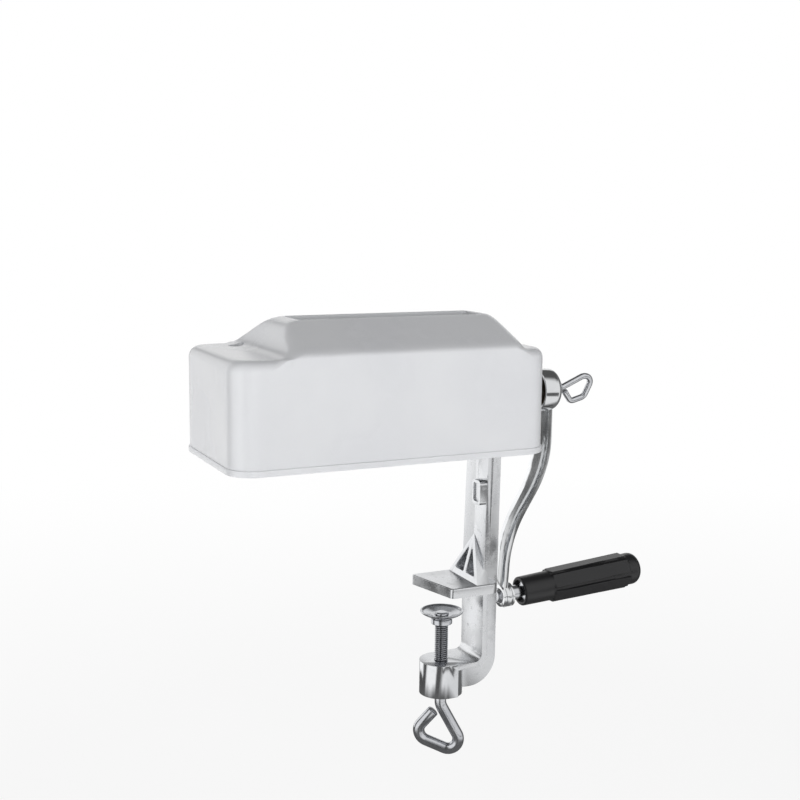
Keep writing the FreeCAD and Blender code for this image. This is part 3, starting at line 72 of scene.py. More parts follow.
class Wire:
    """One output of a shader node, with Python's operators as Math nodes."""

    def __init__(self, graph: "Graph", node: bpy.types.Node, output: Any = 0) -> None:
        """Keep the graph, the node and the output's name or number."""
        self.graph = graph
        self.node = node
        self.output = output

    def out(self, output: Any) -> "Wire":
        """Another output of the same node, by its name or number."""
        return Wire(self.graph, self.node, output)

    def maths(self, operation: str, *values: Any, clamp: bool = False) -> "Wire":
        """Add a Math node for these wires or numbers, kept within 0 and 1 if clamp is set."""
        settings = {"operation": operation, "use_clamp": clamp}
        return self.graph.add("Math", settings, dict(enumerate(values)))

    def __add__(self, other: Any) -> "Wire":
        """Sum."""
        return self.maths("ADD", self, other)

    __radd__ = __add__

    def __sub__(self, other: Any) -> "Wire":
        """Difference."""
        return self.maths("SUBTRACT", self, other)

    def __rsub__(self, other: Any) -> "Wire":
        """Difference with the wire second."""
        return self.maths("SUBTRACT", other, self)

    def __mul__(self, other: Any) -> "Wire":
        """Product."""
        return self.maths("MULTIPLY", self, other)

    __rmul__ = __mul__

    def __truediv__(self, other: Any) -> "Wire":
        """Quotient."""
        return self.maths("DIVIDE", self, other)

    def clamped(self) -> "Wire":
        """The wire kept between 0 and 1."""
        return self.maths("ADD", self, 0.0, clamp=True)

    def mapped(self, low: float, high: float) -> "Wire":
        """The wire's 0 to 1 spread over low to high."""
        return self * (high - low) + low

    def band(self, start: float, end: float) -> "Wire":
        """0 below start, 1 above end, and a straight rise between."""
        return self.maths("MULTIPLY", self - start, 1.0 / (end - start), clamp=True)

    def window(self, edges: Window) -> "Wire":
        """1 between two soft edges: a rise over the first two places, a fall over the last."""
        return self.band(*edges[:2]) * (1 - self.band(*edges[2:]))

    def towards(self, value: float, share: "Wire") -> "Wire":
        """The wire drawn towards a value by a share from 0 to 1."""
        return self + share * (value - self)


class Graph:
    """The node tree of one material or world."""

    def __init__(self, owner: bpy.types.Material | bpy.types.World) -> None:
        """Start the owner's shader afresh."""
        owner.use_nodes = True
        self.owner = owner
        self.tree = owner.node_tree
        self.tree.nodes.clear()

    def add(self, kind: str, settings: dict[str, Any] | None = None,
            inputs: dict[Any, Any] | None = None) -> Wire:
        """Make a node, set it up and connect it.

        Args:
            kind: the node's type, without the word ShaderNode.
            settings: its properties, or a ramp's stops under the name stops.
            inputs: values or wires by the socket's name or number.

        Returns:
            The node's first output.
        """
        node = self.tree.nodes.new(f"ShaderNode{kind}")
        for name, value in (settings or {}).items():
            if name == "stops":
                ramp = node.color_ramp.elements
                while len(ramp) < len(value):
                    ramp.new(0.5)
                for element, (place, colour) in zip(ramp, value):
                    element.position = place
                    element.color = colour
            else:
                setattr(node, name, value)
        for name, value in (inputs or {}).items():
            socket = node.inputs[name]
            if isinstance(value, Wire):
                self.tree.links.new(value.node.outputs[value.output], socket)
            else:
                socket.default_value = value
        return Wire(self, node)

    def place(self, stretch: Numbers = (1.0, 1.0, 1.0)) -> Wire:
        """Object coordinates, for a pattern scaled along X, Y and Z."""
        point = self.add("TexCoord").out("Object")
        return self.add("Mapping", {"vector_type": "POINT"}, {
            "Vector": point, "Scale": tuple(stretch)})

    def split(self, place: Wire) -> tuple[Wire, Wire, Wire]:
        """The three parts of a place or direction."""
        node = self.add("SeparateXYZ", None, {0: place})
        return node, node.out(1), node.out(2)

    def noise(self, size: float, detail: float = 3.0, place: Wire | None = None,
              roughness: float = 0.5) -> Wire:
        """A noise from 0 to 1 whose blots are about size millimetres wide."""
        return self.add("TexNoise", {"noise_dimensions": "3D"}, {
            "Vector": place or self.place(), "Scale": 1.0 / (size * MM),
            "Detail": detail, "Roughness": roughness})

    def blend(self, share: Wire, first: Wire | Colour, second: Colour) -> Wire:
        """A colour between two, by a share from 0 to 1."""
        if not isinstance(first, Wire):
            first = (*first, 1.0)
        colours = {"Factor": share, 6: first, 7: (*second, 1.0)}
        return self.add("Mix", {"data_type": "RGBA"}, colours).out(2)

    def bump(self, height: Wire, depth: float) -> Wire:
        """A normal from a height from 0 to 1 that is depth millimetres deep."""
        return self.add("Bump", None, {
            "Height": height, "Strength": 1.0, "Distance": depth * MM})

    def rays(self) -> tuple[Wire, Wire]:
        """1 for what is seen straight or through glass, and 1 for what a gloss reflects."""
        path = self.add("LightPath")
        seen = (path.out("Is Camera Ray") + path.out("Is Transmission Ray")).clamped()
        return seen, path.out("Is Glossy Ray")

    def surface(self, inputs: dict[str, Any]) -> bpy.types.Material:
        """The material, ended in a Principled shader with these values or wires by name."""
        shader = self.add("BsdfPrincipled", None, inputs)
        self.add("OutputMaterial", None, {"Surface": shader})
        return self.owner


# Finishes


@dataclass(frozen=True)
class Zone:
    """The part of a metal near the clamp screw's axis that has a look of its own.

    The reach from the axis and the height are in millimetres, with soft edges.
    """

    reach: Span
    height: Window

    def share(self, g: Graph) -> Wire:
        """1 inside the zone and 0 outside it."""
        x, y, z = (part * (1 / MM) for part in g.split(g.place()))
        reach = x.maths("SQRT", x * x + y * y)
        return (1 - reach.band(*self.reach)) * z.window(self.height)


@dataclass(frozen=True)
class BareMetal:
    """A metal surface with cloudy tone, fine grain and polish that varies.

    The grain is a noise, stretched where the metal was brushed or turned. A turned zone
    is smooth; in the groove zone, painted shade darkens the colour and the surface is duller.
    """

    dark: Colour
    bright: Colour
    smooth: float
    rough: float
    cloud: float = 14.0
    grain: float = 0.5
    depth: float = 0.01
    stretch: Three = (1.0, 1.0, 1.0)
    stain: float = 0.0
    turned: Zone | None = None
    # a zone darkened with painted shade, its dark colour, and how much rougher it gets
    shaded_grooves: Zone | None = None
    groove_shade: Colour = (0.12, 0.12, 0.13)
    groove_dull: float = 0.4
    pit_size: float = 5.0
    pit_band: Span = (0.60, 0.72)
    tone_band: Span = (0.30, 0.70)
    rough_band: Span = (0.32, 0.72)

    def material(self, name: str) -> bpy.types.Material:
        """The metal's material; each sum's factors are the shares of its noises."""
        g = Graph(bpy.data.materials.new(name))
        place = g.place(self.stretch)
        cloud = g.noise(self.cloud, 4.0)
        grain = g.noise(self.grain, 3.0, place, 0.6)
        pits = g.noise(self.grain * self.pit_size, 2.0, place).band(*self.pit_band)
        stain = pits * self.stain
        tone = cloud.band(*self.tone_band) * 0.75 + grain * 0.25 - stain
        rough = (cloud.band(*self.rough_band) * 0.6 + grain * 0.4 + stain).clamped()
        height = grain * 0.7 + cloud * 0.3 - pits * 0.3
        colour = g.blend(tone.clamped(), self.dark, self.bright)
        if self.turned:
            rough = rough * (1 - self.turned.share(g))
        # painted shade: darken the colour inside the zone (a thread's grooves) and roughen it
        if self.shaded_grooves:
            groove_shade = self.shaded_grooves.share(g)
            colour = g.blend(groove_shade, colour, self.groove_shade)
            rough = (rough + groove_shade * self.groove_dull).clamped()
        return g.surface({
            "Base Color": colour,
            "Metallic": 1.0,
            "Roughness": rough.mapped(self.smooth, self.rough),
            "Normal": g.bump(height, self.depth),
        })


@dataclass(frozen=True)
class Moulded:
    """A moulded plastic with a faint flow shade and a fine skin."""

    colour: Colour
    shade: Colour
    smooth: float
    rough: float
    skin: float = 0.35
    depth: float = 0.004
    coat: float = 0.0
    coat_rough: float = 0.12
    ior: float = 1.48
    flow: float = 38.0
    flow_band: Span = (0.35, 0.65)
    scuff: float = 1.2
    scuff_stretch: Three = (1.0, 1.0, 9.0)
    scuff_band: Span = (0.58, 0.75)

    def material(self, name: str) -> bpy.types.Material:
        """The plastic's material; each sum's factors are the shares of its noises."""
        g = Graph(bpy.data.materials.new(name))
        flow = g.noise(self.flow, 2.0).band(*self.flow_band)
        skin = g.noise(self.skin, 2.0)
        place = g.place(self.scuff_stretch)
        scuff = g.noise(self.scuff, 4.0, place, 0.7).band(*self.scuff_band)
        rough = (skin * 0.35 + flow * 0.25 + scuff * 0.4).clamped()
        return g.surface({
            "Base Color": g.blend(flow, self.colour, self.shade),
            "Roughness": rough.mapped(self.smooth, self.rough),
            "IOR": self.ior,
            "Coat Weight": self.coat,
            "Coat Roughness": self.coat_rough,
            "Normal": g.bump(skin * 0.8 + flow * 0.2, self.depth),
        })


class Finish(Enum):
    """The object's finishes, under the names of the record's slots."""

    cast_aluminium = BareMetal((0.60, 0.61, 0.63), (0.80, 0.81, 0.82), 0.12, 0.44, 16.0, 0.8,
                               0.010, stain=0.25,
                               turned=Zone((13.4, 13.9), (-101.0, -100.0, -43.2, -43.0)))
    polished_crank = BareMetal((0.66, 0.67, 0.68), (0.84, 0.85, 0.86), 0.07, 0.24, 20.0, 0.6,
                               0.006, stain=0.1)
    bright_steel = BareMetal((0.55, 0.56, 0.58), (0.68, 0.69, 0.71), 0.14, 0.32, 9.0, 0.3,
                             0.003, (0.12, 1.0, 1.0))
    # the clamp screw's thread grooves get painted shade
    plated_screw = BareMetal((0.48, 0.49, 0.52), (0.70, 0.71, 0.73), 0.12, 0.30, 8.0, 0.4,
                             0.004, stain=0.15,
                             shaded_grooves=Zone((3.4, 3.9), (-66.0, -64.0, -19.0, -18.0)))
    stainless_blade = BareMetal((0.56, 0.57, 0.58), (0.70, 0.71, 0.72), 0.18, 0.34, 12.0, 0.3,
                                0.003, (1.0, 1.0, 0.2))
    gear_steel = BareMetal((0.34, 0.34, 0.35), (0.48, 0.48, 0.49), 0.28, 0.46, 7.0, 0.4,
                           0.005, stain=0.3)
    sintered_bush = BareMetal((0.15, 0.12, 0.09), (0.27, 0.22, 0.16), 0.34, 0.55, 6.0, 0.25,
                              0.008, stain=0.35)
    cover_white = Moulded((0.80, 0.81, 0.83), (0.765, 0.775, 0.80), 0.20, 0.40, 0.4, 0.003, 0.15)
    spacer_nylon = Moulded((0.72, 0.71, 0.66), (0.66, 0.65, 0.60), 0.30, 0.50, 0.5, 0.004)
    grip_black = Moulded((0.010, 0.010, 0.011), (0.016, 0.016, 0.017), 0.28, 0.50, 0.3, 0.006)

    def dress(self, thing: Piece) -> None:
        """Put this finish on an object as its only material."""
        name = f"finish_{self.name}"
        made = bpy.data.materials.get(name) or self.value.material(name)
        thing.data.materials.clear()
        thing.data.materials.append(made)


# Meshes


def mesh_object(name: str, points: Array, faces: Sequence[Sequence[int]],
                crease: float = CREASE) -> Piece:
    """An object from points in millimetres and faces, closed and facing outwards.

    Args:
        name: the piece's name.
        points: its corners, one row each.
        faces: the corners of each face.
        crease: the angle in degrees past which an edge stays sharp.

    Returns:
        The object, at the origin.
    """
    mesh = bpy.data.meshes.new(name)
    mesh.from_pydata((points * MM).tolist(), [], np.asarray(faces, dtype=object).tolist())
    shape = bmesh.new()
    shape.from_mesh(mesh)
    bpy.data.meshes.remove(mesh)
    bmesh.ops.remove_doubles(shape, verts=shape.verts, dist=WELD)
    bmesh.ops.dissolve_degenerate(shape, edges=shape.edges, dist=SLIVER)
    bmesh.ops.recalc_face_normals(shape, faces=shape.faces)
    if shape.calc_volume(signed=True) < 0:
        bmesh.ops.reverse_faces(shape, faces=shape.faces)
    return shown(name, shape, crease)


def shade(mesh: bpy.types.Mesh, crease: float) -> None:
    """Shade a mesh smooth, but keep edges past the crease angle in degrees sharp."""
    mesh.shade_smooth()
    mesh.set_sharp_from_angle(angle=np.radians(crease))


def shown(name: str, shape: bmesh.types.BMesh, crease: float = CREASE) -> Piece:
    """Turn a shape into a shaded object in the scene, and free the shape."""
    mesh = bpy.data.meshes.new(name)
    shape.to_mesh(mesh)
    shape.free()
    shade(mesh, crease)
    return linked(name, mesh)


def linked(name: str, data: bpy.types.ID) -> Piece:
    """A new object in the scene with this data."""
    thing = bpy.data.objects.new(name, data)
    bpy.context.scene.collection.objects.link(thing)
    return thing


def grid_faces(rows: int, columns: int, wrap_rows: bool, wrap_columns: bool) -> Array:
    """The four corners of each face of a grid of points, as rows of point numbers."""
    i = np.arange(rows if wrap_rows else rows - 1)
    j = np.arange(columns if wrap_columns else columns - 1)
    i, j = np.meshgrid(i, j, indexing="ij")
    up, right = (i + 1) % rows, (j + 1) % columns
    corners = [i * columns + j, i * columns + right, up * columns + right, up * columns + j]
    return np.stack(corners, -1).reshape(-1, 4)


def grid_object(name: str, points: Array, wrap_rows: bool = False,
                crease: float = CREASE) -> Piece:
    """An object from a grid of points whose columns close round on themselves."""
    rows, columns = points.shape[:2]
    faces = grid_faces(rows, columns, wrap_rows, True)
    return mesh_object(name, points.reshape(-1, 3), faces, crease)


def unit(way: Numbers) -> Array:
    """A direction of length one."""
    return np.asarray(way, float) / np.linalg.norm(way)


def aimed(axis: Numbers) -> Array:
    """Three directions as rows: two square to an axis, and the axis itself."""
    axis = unit(axis)
    side = unit(np.cross((0.0, 1.0, 0.0) if abs(axis[1]) < 0.9 else (1.0, 0.0, 0.0), axis))
    return np.stack([side, np.cross(axis, side), axis])


def spun(origin: Numbers, axis: Numbers, along: Array, reach: Array, angle: Array) -> Array:
    """Places by their way along an axis, their reach from it and their angle round it.

    Each is origin + along * axis + reach * (cos angle * side + sin angle * up).
    """
    side, up, way = aimed(axis)
    spoke = np.cos(angle)[..., None] * side + np.sin(angle)[..., None] * up
    return np.asarray(origin, float) + along[..., None] * way + reach[..., None] * spoke


def turn_steps(count: int) -> Array:
    """The angles of a whole turn in equal steps, as one row."""
    return np.linspace(0, 2 * np.pi, count, endpoint=False)[None]


def eased(profile: Line, radius: float, steps: int = 4, most: float = 0.49) -> Array:
    """Round the inner corners of an open line of places.

    Each corner gives way to a parabola, p = (1-t)^2 a + 2t(1-t) b + t^2 c, that starts
    and ends radius away from it, or at most that share along a shorter side.
    """
    line = np.asarray(profile, float)
    corner = line[1:-1]

    def along(way: Array) -> Array:
        """The places where the curves leave these sides."""
        reach = np.linalg.norm(way, axis=1, keepdims=True)
        return (corner + way / reach * np.minimum(radius, reach * most))[:, None]

    t = np.linspace(0, 1, steps + 1)[None, :, None]
    curve = ((1 - t) ** 2 * along(line[:-2] - corner) + 2 * t * (1 - t) * corner[:, None]
             + t ** 2 * along(line[2:] - corner))
    return np.concatenate([line[:1], curve.reshape(-1, line.shape[1]), line[-1:]])


def turned(name: str, profile: Line, origin: Numbers, axis: Numbers,
           edge: float = 0.3, sides: int = 96, closed: bool = False) -> Piece:
    """A turned piece: a profile of (along, radius) carried round an axis.

    Args:
        name: the piece's name.
        profile: places along the axis and their radii.
        origin: the place that counts as zero along the axis.
        axis: the axis's direction.
        edge: how far the corners are rounded.
        sides: the number of steps round the axis.
        closed: whether the profile closes on itself, as a ring's does.

    Returns:
        The object.
    """
    line = [*profile, profile[0]] if closed else list(profile)
    line = eased(line, edge)
    points = spun(origin, axis, line[:, :1], line[:, 1:], turn_steps(sides))
    return grid_object(name, points, wrap_rows=closed)


def bent(corners: Line, bends: Numbers, steps: int = 16) -> Array:
    """A bent rod's centre line: straight runs joined by arcs.

    An arc's centre stands bend / sin(h) from its corner, on the line that halves the
    corner, where h is half the angle between the runs. The arc is then
    centre + bend * (aside * sin(t) - inward * cos(t)) for t from h - pi/2 to pi/2 - h.

    Args:
        corners: where the runs would meet, with the two ends.
        bends: the radius at each corner between the ends.
        steps: the number of steps in each arc.

    Returns:
        The line's places, one row each.
    """
    line = np.asarray(corners, float)
    places = [line[:1]]
    for before, corner, after, bend in zip(line, line[1:], line[2:], bends):
        back, onward = unit(before - corner), unit(after - corner)
        inward, aside = unit(back + onward), unit(onward - back)
        half = np.arccos(back @ onward) / 2
        t = np.linspace(half - np.pi / 2, np.pi / 2 - half, steps + 1)[:, None]
        centre = corner + inward * bend / np.sin(half)
        places.append(centre + bend * (aside * np.sin(t) - inward * np.cos(t)))
    return np.concatenate([*places, line[-1:]])


def rod(name: str, line: Array, radius: float, across: Numbers, sides: int = 40,
        dome: float = 0.2, steps: int = 7) -> Piece:
    """A round rod along a flat line, with domed ends.

    Each ring is centre + radius * (cos a * across + sin a * (way x across)); beyond
    each end the radius falls as the cosine while the centre moves on by the sine.

    Args:
        name: the piece's name.
        line: its centre line.
        radius: its radius.
        across: the direction square to the line's plane.
        sides: the number of steps round the rod.
        dome: the domes' height as a share of the radius.
        steps: the number of rings in each dome.

    Returns:
        The object.
    """
    across = unit(across)
    way = np.gradient(line, axis=0)
    way /= np.linalg.norm(way, axis=1, keepdims=True)
    t = np.linspace(0, np.pi / 2, steps + 1)[1:, None]
    rise = np.sin(t) * radius * dome
    centres = np.concatenate([line[0] - way[0] * rise[::-1], line, line[-1] + way[-1] * rise])
    sizes = radius * np.concatenate([np.cos(t)[::-1], np.ones((len(line), 1)), np.cos(t)])
    up = np.cross(np.pad(way, ((steps, steps), (0, 0)), "edge"), across)
    a = turn_steps(sides)[..., None]
    ring = np.cos(a) * across + np.sin(a) * up[:, None]
    return grid_object(name, centres[:, None] + sizes[..., None] * ring, crease=60.0)


def screw_thread(name: str, low: float, high: float, radius: float, pitch: float, depth: float,
                 sides: int = 64, steps: int = 12, flat: float = 0.125) -> Piece:
    """A right-hand thread on the Z axis with flat crests and slanting flanks.

    The radius at a place z and angle a is root + depth * f, where f is a blunt tooth
    wave of the phase z / pitch - a / turn, and fades in at both ends.

    Args:
        name: the piece's name.
        low: the start along the axis.
        high: the end along the axis.
        radius: the crest's radius.
        pitch: the rise in a turn.
        depth: how deep the groove is.
        sides: the number of steps round the axis.
        steps: the number of steps along the axis in a turn.
        flat: the crest's width and the groove's as a share of the pitch.

    Returns:
        The object.
    """
    z = np.arange(low, high + pitch / steps / 2, pitch / steps)[:, None]
    a = turn_steps(sides)
    phase = (z / pitch - a / (2 * np.pi)) % 1.0
    tooth = np.clip((0.5 - flat / 2 - np.abs(phase - 0.5)) / (0.5 - flat), 0.0, 1.0)
    fade = np.clip((z - low) / pitch, 0, 1) * np.clip((high - z) / pitch, 0, 1)
    reach = radius - depth * (1 - tooth) * np.clip(fade * 1.5, 0, 1)
    along, reach = np.pad(z, ((1, 1), (0, 0)), "edge"), np.pad(reach, ((1, 1), (0, 0)))
    return grid_object(name, spun((0, 0, 0), (0, 0, 1), along, reach, a), crease=50.0)


def prism(name: str, ends: Sequence[Array]) -> Piece:
    """A solid between two outlines that have as many corners as each other."""
    count = len(ends[0])
    caps = [[0, *range(count - 1, 0, -1)], list(range(count, 2 * count))]
    faces = caps + grid_faces(2, count, False, True).tolist()
    return mesh_object(name, np.concatenate(ends), faces)


def joined(name: str, pieces: Sequence[Piece]) -> Piece:
    """One object from several pieces that are already in place."""
    shape = bmesh.new()
    for piece in pieces:
        shape.from_mesh(piece.data)
        bpy.data.objects.remove(piece)
    return shown(name, shape)


def cut(thing: Piece, cutters: Sequence[Piece]) -> None:
    """Take the cutters' shapes out of a piece and remove them."""
    bpy.context.view_layer.update()
    for cutter in cutters:
        taken = thing.modifiers.new("cut", "BOOLEAN")
        taken.operation = "DIFFERENCE"
        taken.solver = "EXACT"
        taken.object = cutter
    view = thing.evaluated_get(bpy.context.evaluated_depsgraph_get())
    mesh = bpy.data.meshes.new_from_object(view)
    thing.modifiers.clear()
    thing.data = mesh
    shade(mesh, CREASE)
    for cutter in cutters:
        bpy.data.objects.remove(cutter)


def softened(node: str, width: float, crease: float = 28.0, segments: int = 3) -> Piece:
    """A copy of a solid with its sharp edges rounded.

    Args:
        node: the solid's name, which the new piece's begins with.
        width: how far each edge is rounded, in millimetres.
        crease: the angle in degrees past which an edge is rounded.
        segments: the number of steps over each edge.

    Returns:
        The object.
    """
    shape = bmesh.new()
    shape.from_mesh(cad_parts[node].data)
    bmesh.ops.remove_doubles(shape, verts=shape.verts, dist=SOLID_WELD)
    bmesh.ops.dissolve_limit(shape, angle_limit=np.radians(SOLID_FLAT), verts=shape.verts,
                             edges=shape.edges)
    thing = shown(f"{node}_piece", shape, 180.0)
    bevel = thing.modifiers.new("edges", "BEVEL")
    bevel.width = width * MM
    bevel.segments = segments
    bevel.limit_method = "ANGLE"
    bevel.angle_limit = np.radians(crease)
    bevel.use_clamp_overlap = True
    bevel.miter_outer = "MITER_ARC"
    bevel.harden_normals = True
    return thing


# Pieces


def settle(thing: Piece, body: str, finish: Finish, *nodes: str) -> None:
    """Dress a new piece, put it on its body, and let it stand for its solids."""
    finish.dress(thing)
    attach(thing, body)
    if nodes:
        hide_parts(*nodes)
    LOG.info("piece %s rides on %s, %d faces", thing.name, body, len(thing.data.polygons))


@dataclass
class Cover:
    """The white cover: a rounded box, open below, that rises into a feed chute.

    Each ring of the rim band is how far it stands out and how high above the foot it
    lies; each ring of the mouth, how far out and how far below the lip.
    """

    middle: float = -49.5
    half_long: float = 92.5
    half_wide: float = 46.0
    corner: float = 14.0
    low: float = 87.8
    top: float = 147.1
    edge: float = 6.0
    edge_reach: float = 6.5
    wall: float = 2.5
    slope_wall: float = 2.7
    blend: float = 4.0
    rise: float = 17.0
    left_run: float = 23.0
    right_run: float = 10.0
    steepness: float = 0.07
    slot_middle: float = -38.0
    slot_half_long: float = 56.5
    slot_half_wide: float = 12.0
    slot_corner: float = 2.5
    lip: float = 1.4
    foot_corner: float = 8.0
    top_corner: float = 4.0
    brow: float = 0.30
    neck: float = 11.3
    screw_x: float = -117.0
    screw_y: float = 26.6
    columns: Sequence[int] = (64, 12, 128)
    edge_steps: int = 12
    slope_steps: int = 30
    wall_steps: int = 12
    halvings: int = 26
    outer_fall: float = 1.5
    band_rings: Line = ((0.45, 0.0), (0.7, 0.12), (0.8, 0.4), (0.8, 3.0), (0.7, 3.28),
                        (0.45, 3.4), (0.15, 3.43), (0.0, 3.65))
    mouth_rings: Line = ((0.9, 0.0), (0.5, 0.05), (0.15, 0.25), (0.0, 0.6), (0.0, 1.4))
    recess: Line = ((-1.8, 0), (-1.8, 4.1), (-0.3, 4.3), (0.0, 4.7), (2.0, 4.7), (2.0, 0))
    tube: Line = ((-6.5, 2.2), (-6.5, 4.8), (-1.9, 4.9), (-1.9, 2.2))
    screw_sink: float = 1.8
    pan_head: Line = ((-9.8, 0), (-9.8, 1.2), (-9.2, 1.9), (0.02, 1.9), (0.02, 3.7),
                      (0.75, 3.6), (1.45, 2.3), (1.65, 0))
    cross_turns: Numbers = (30.0, 120.0)
    cross: tuple[float, float, float, float] = (1.9, 0.36, 0.7, 3.0)

    def template(self) -> tuple[Array, Array]:
        """The places round a rounded rectangle.

        Returns:
            For each place, its point on the inner rectangle from -1 to 1, and the
            outward direction there.
        """
        points, ways = [], []
        turns = ((1, -1), (1, 1), (-1, 1), (-1, -1))
        for i, (x, y) in enumerate(turns):
            after = turns[(i + 1) % 4]
            sides = self.columns[0] if i % 2 == 0 else self.columns[2]
            t = np.linspace(0, 1, sides, endpoint=False)[:, None]
            a = np.radians(90 * i)
            points.append(np.asarray((x, y)) * (1 - t) + np.asarray(after) * t)
            ways.append(np.repeat([[np.cos(a), np.sin(a)]], sides, 0))
            b = a + np.linspace(0, np.pi / 2, self.columns[1], endpoint=False)
            points.append(np.repeat([after], self.columns[1], 0))
            ways.append(np.stack([np.cos(b), np.sin(b)], 1))
        return np.concatenate(points).astype(float), np.concatenate(ways)

    def rings(self, middle: Array, long: Array, wide: Array, corner: Array) -> Array:
        """Rounded rectangles, one a row: inner rectangle plus radius times direction."""
        points, ways = self.template()
        m, a, b, c = (np.asarray(v, float).reshape(-1, 1) for v in (middle, long, wide, corner))
        x = m + points[:, 0] * (a - c) + ways[:, 0] * c
        y = points[:, 1] * (b - c) + ways[:, 1] * c
        return np.stack([x, y], -1)

    @staticmethod
    def outside(x: Array, y: Array, middle: Any, long: Any, wide: Any, corner: Any) -> Array:
        """How far places lie outside a rounded rectangle, negative inside it."""
        u = np.abs(x - middle) - (long - corner)
        v = np.abs(y) - (wide - corner)
        away = np.hypot(np.maximum(u, 0), np.maximum(v, 0))
        return away + np.minimum(np.maximum(u, v), 0) - corner

    def section(self, run: Array) -> tuple[Array, ...]:
        """The chute's level section by its run from foot (0) to lip (1).

        The height follows (1 - cos(pi run)) / 2. With u = 1 - run, the short ends stand
        u + steepness * sin(2 pi u) of their run away from the lip. The long sides stand
        back from the wall by a parabola up to the brow and by a straight line above it.
        """
        height = (1 - np.cos(np.pi * run)) / 2
        away = 1 - run + self.steepness * np.sin(2 * np.pi * (1 - run))
        low = self.slot_middle - self.slot_half_long - self.lip - self.left_run * away
        high = self.slot_middle + self.slot_half_long + self.lip + self.right_run * away
        share = self.brow / 2 / (1 - self.brow / 2)
        spread = np.where(height < self.brow, 1 - share * (height / self.brow) ** 2,
                          1 - (height - self.brow / 2) / (1 - self.brow / 2))
        lip = self.slot_half_wide + self.lip
        wide = lip + (self.half_wide - lip) * spread
        corner = self.top_corner + (self.foot_corner - self.top_corner) * (1 - height)
        return (low + high) / 2, (high - low) / 2, wide, corner

    def chute(self, x: Array, y: Array) -> Array:
        """The chute's height above the shoulder, found by halving the run again and again."""
        low, high = np.zeros_like(x), np.ones_like(x)
        for _ in range(self.halvings):
            run = (low + high) / 2
            inside = self.outside(x, y, *self.section(run)) <= 0
            low, high = np.where(inside, run, low), np.where(inside, high, run)
        foot = self.outside(x, y, *self.section(np.zeros(1)))
        return np.where(foot > 0, -self.outer_fall * foot,
                        self.rise * (1 - np.cos(np.pi * low)) / 2)

    def height(self, x: Array, y: Array) -> Array:
        """The outer height: the rounded shoulder and the chute, blended by a smooth maximum.

        max(a, b) + (k - |a - b|)^2 / 4k, where k grows as the shoulder falls away.
        """
        depth = -self.outside(x, y, self.middle, self.half_long, self.half_wide, self.corner)
        short = np.clip(self.edge - depth, 0, self.edge)
        shoulder = np.sqrt(self.edge ** 2 - short ** 2) - self.edge
        chute = self.chute(x, y)
        k = self.blend * np.clip(-shoulder / 2, 0, 1) + 1e-6
        meet = np.maximum(k - np.abs(shoulder - chute), 0) ** 2 / (4 * k)
        return self.top + np.maximum(shoulder, chute) + meet

    def build(self) -> Piece:
        """The cover's closed shell: up the outside, over the lip and down the inside."""
        half = (self.half_long, self.half_wide, self.corner)
        lip = (self.slot_half_long + self.lip, self.slot_half_wide + self.lip, self.top_corner)
        mouth = (self.slot_half_long, self.slot_half_wide, self.slot_corner)

        def level(grow: Any) -> Array:
            """Rings round the wall, grown outwards."""
            grow = np.atleast_1d(grow)
            return self.rings(np.full(len(grow), self.middle), *(s + grow for s in half))

        def between(outer: Numbers, inner: Numbers, share: Array) -> Array:
            """Rings that pass from the wall's outline to the mouth's."""
            return self.rings(self.middle + (self.slot_middle - self.middle) * share,
                              *(o + (i - o) * share for o, i in zip(outer, inner)))

        over = np.linspace(0, np.pi / 2, self.edge_steps)
        near = self.edge_reach * (1 - np.cos(over)) / (self.half_wide - lip[1])
        share = np.concatenate([near, np.linspace(near[-1], 1, self.slope_steps)[1:]])
        top = between(half, lip, share)
        top_z = self.height(top[..., 0], top[..., 1])
        brim = top_z[0]

        grow, lift = np.transpose(self.band_rings)
        foot, foot_z = level(grow), self.low + lift
        rise = np.linspace(0, 1, self.wall_steps)[1:-1, None]
        wall_z = foot_z[-1] + (brim - foot_z[-1]) * rise
        rise_down = np.linspace(1, 0, self.wall_steps)[1:, None]

        grow, fall = np.transpose(self.mouth_rings)
        mouth_rings = self.rings(np.full(len(fall), self.slot_middle),
                                 *(m + grow for m in mouth))
        mouth_z = top_z[-1].max() - fall

        hollow = tuple(s - self.wall for s in half)
        under = between(hollow, mouth, share[::-1])
        under_z = top_z[::-1] - self.slope_wall
        inner_z = self.low + (brim - self.slope_wall - self.low) * rise_down
        inner = level(np.full(len(rise_down), -self.wall))

        rows = [
            (foot, foot_z[:, None]), (level(np.zeros(len(rise))), wall_z), (top, top_z),
            (mouth_rings, mouth_z[:, None]), (under, under_z), (inner, inner_z),
        ]
        count = top_z.shape[1]
        points = np.concatenate([
            np.concatenate([flat, np.broadcast_to(z, (len(flat), count))[..., None]], -1)
            for flat, z in rows
        ])
        shell = grid_object("cover_shell", points, wrap_rows=True)
        cut(shell, [self.neck_cutter(), self.by_screw("screw_cutter", self.recess, 0.25)])
        return shell

    def neck_cutter(self) -> Piece:
        """What the neck's opening takes out: a half round above straight sides."""
        a = np.linspace(0, np.pi, 33)
        y = np.concatenate([[ROLLER_Y + self.neck], ROLLER_Y + self.neck * np.cos(a),
                            [ROLLER_Y - self.neck]])
        z = np.concatenate([[self.low - 2], ROLLER_Z + self.neck * np.sin(a), [self.low - 2]])
        right = self.middle + self.half_long
        return prism("neck_cutter", [np.stack([np.full(len(y), x), y, z], 1)
                                     for x in (right - 6, right + 3)])

    def by_screw(self, name: str, profile: Line, edge: float, sink: float = 0.0,
                 closed: bool = False) -> Piece:
        """A turned piece on the screw's axis, measured from sink below the top."""
        place = (self.screw_x, self.screw_y, self.top - sink)
        return turned(name, profile, place, (0, 0, 1), edge, 64, closed)

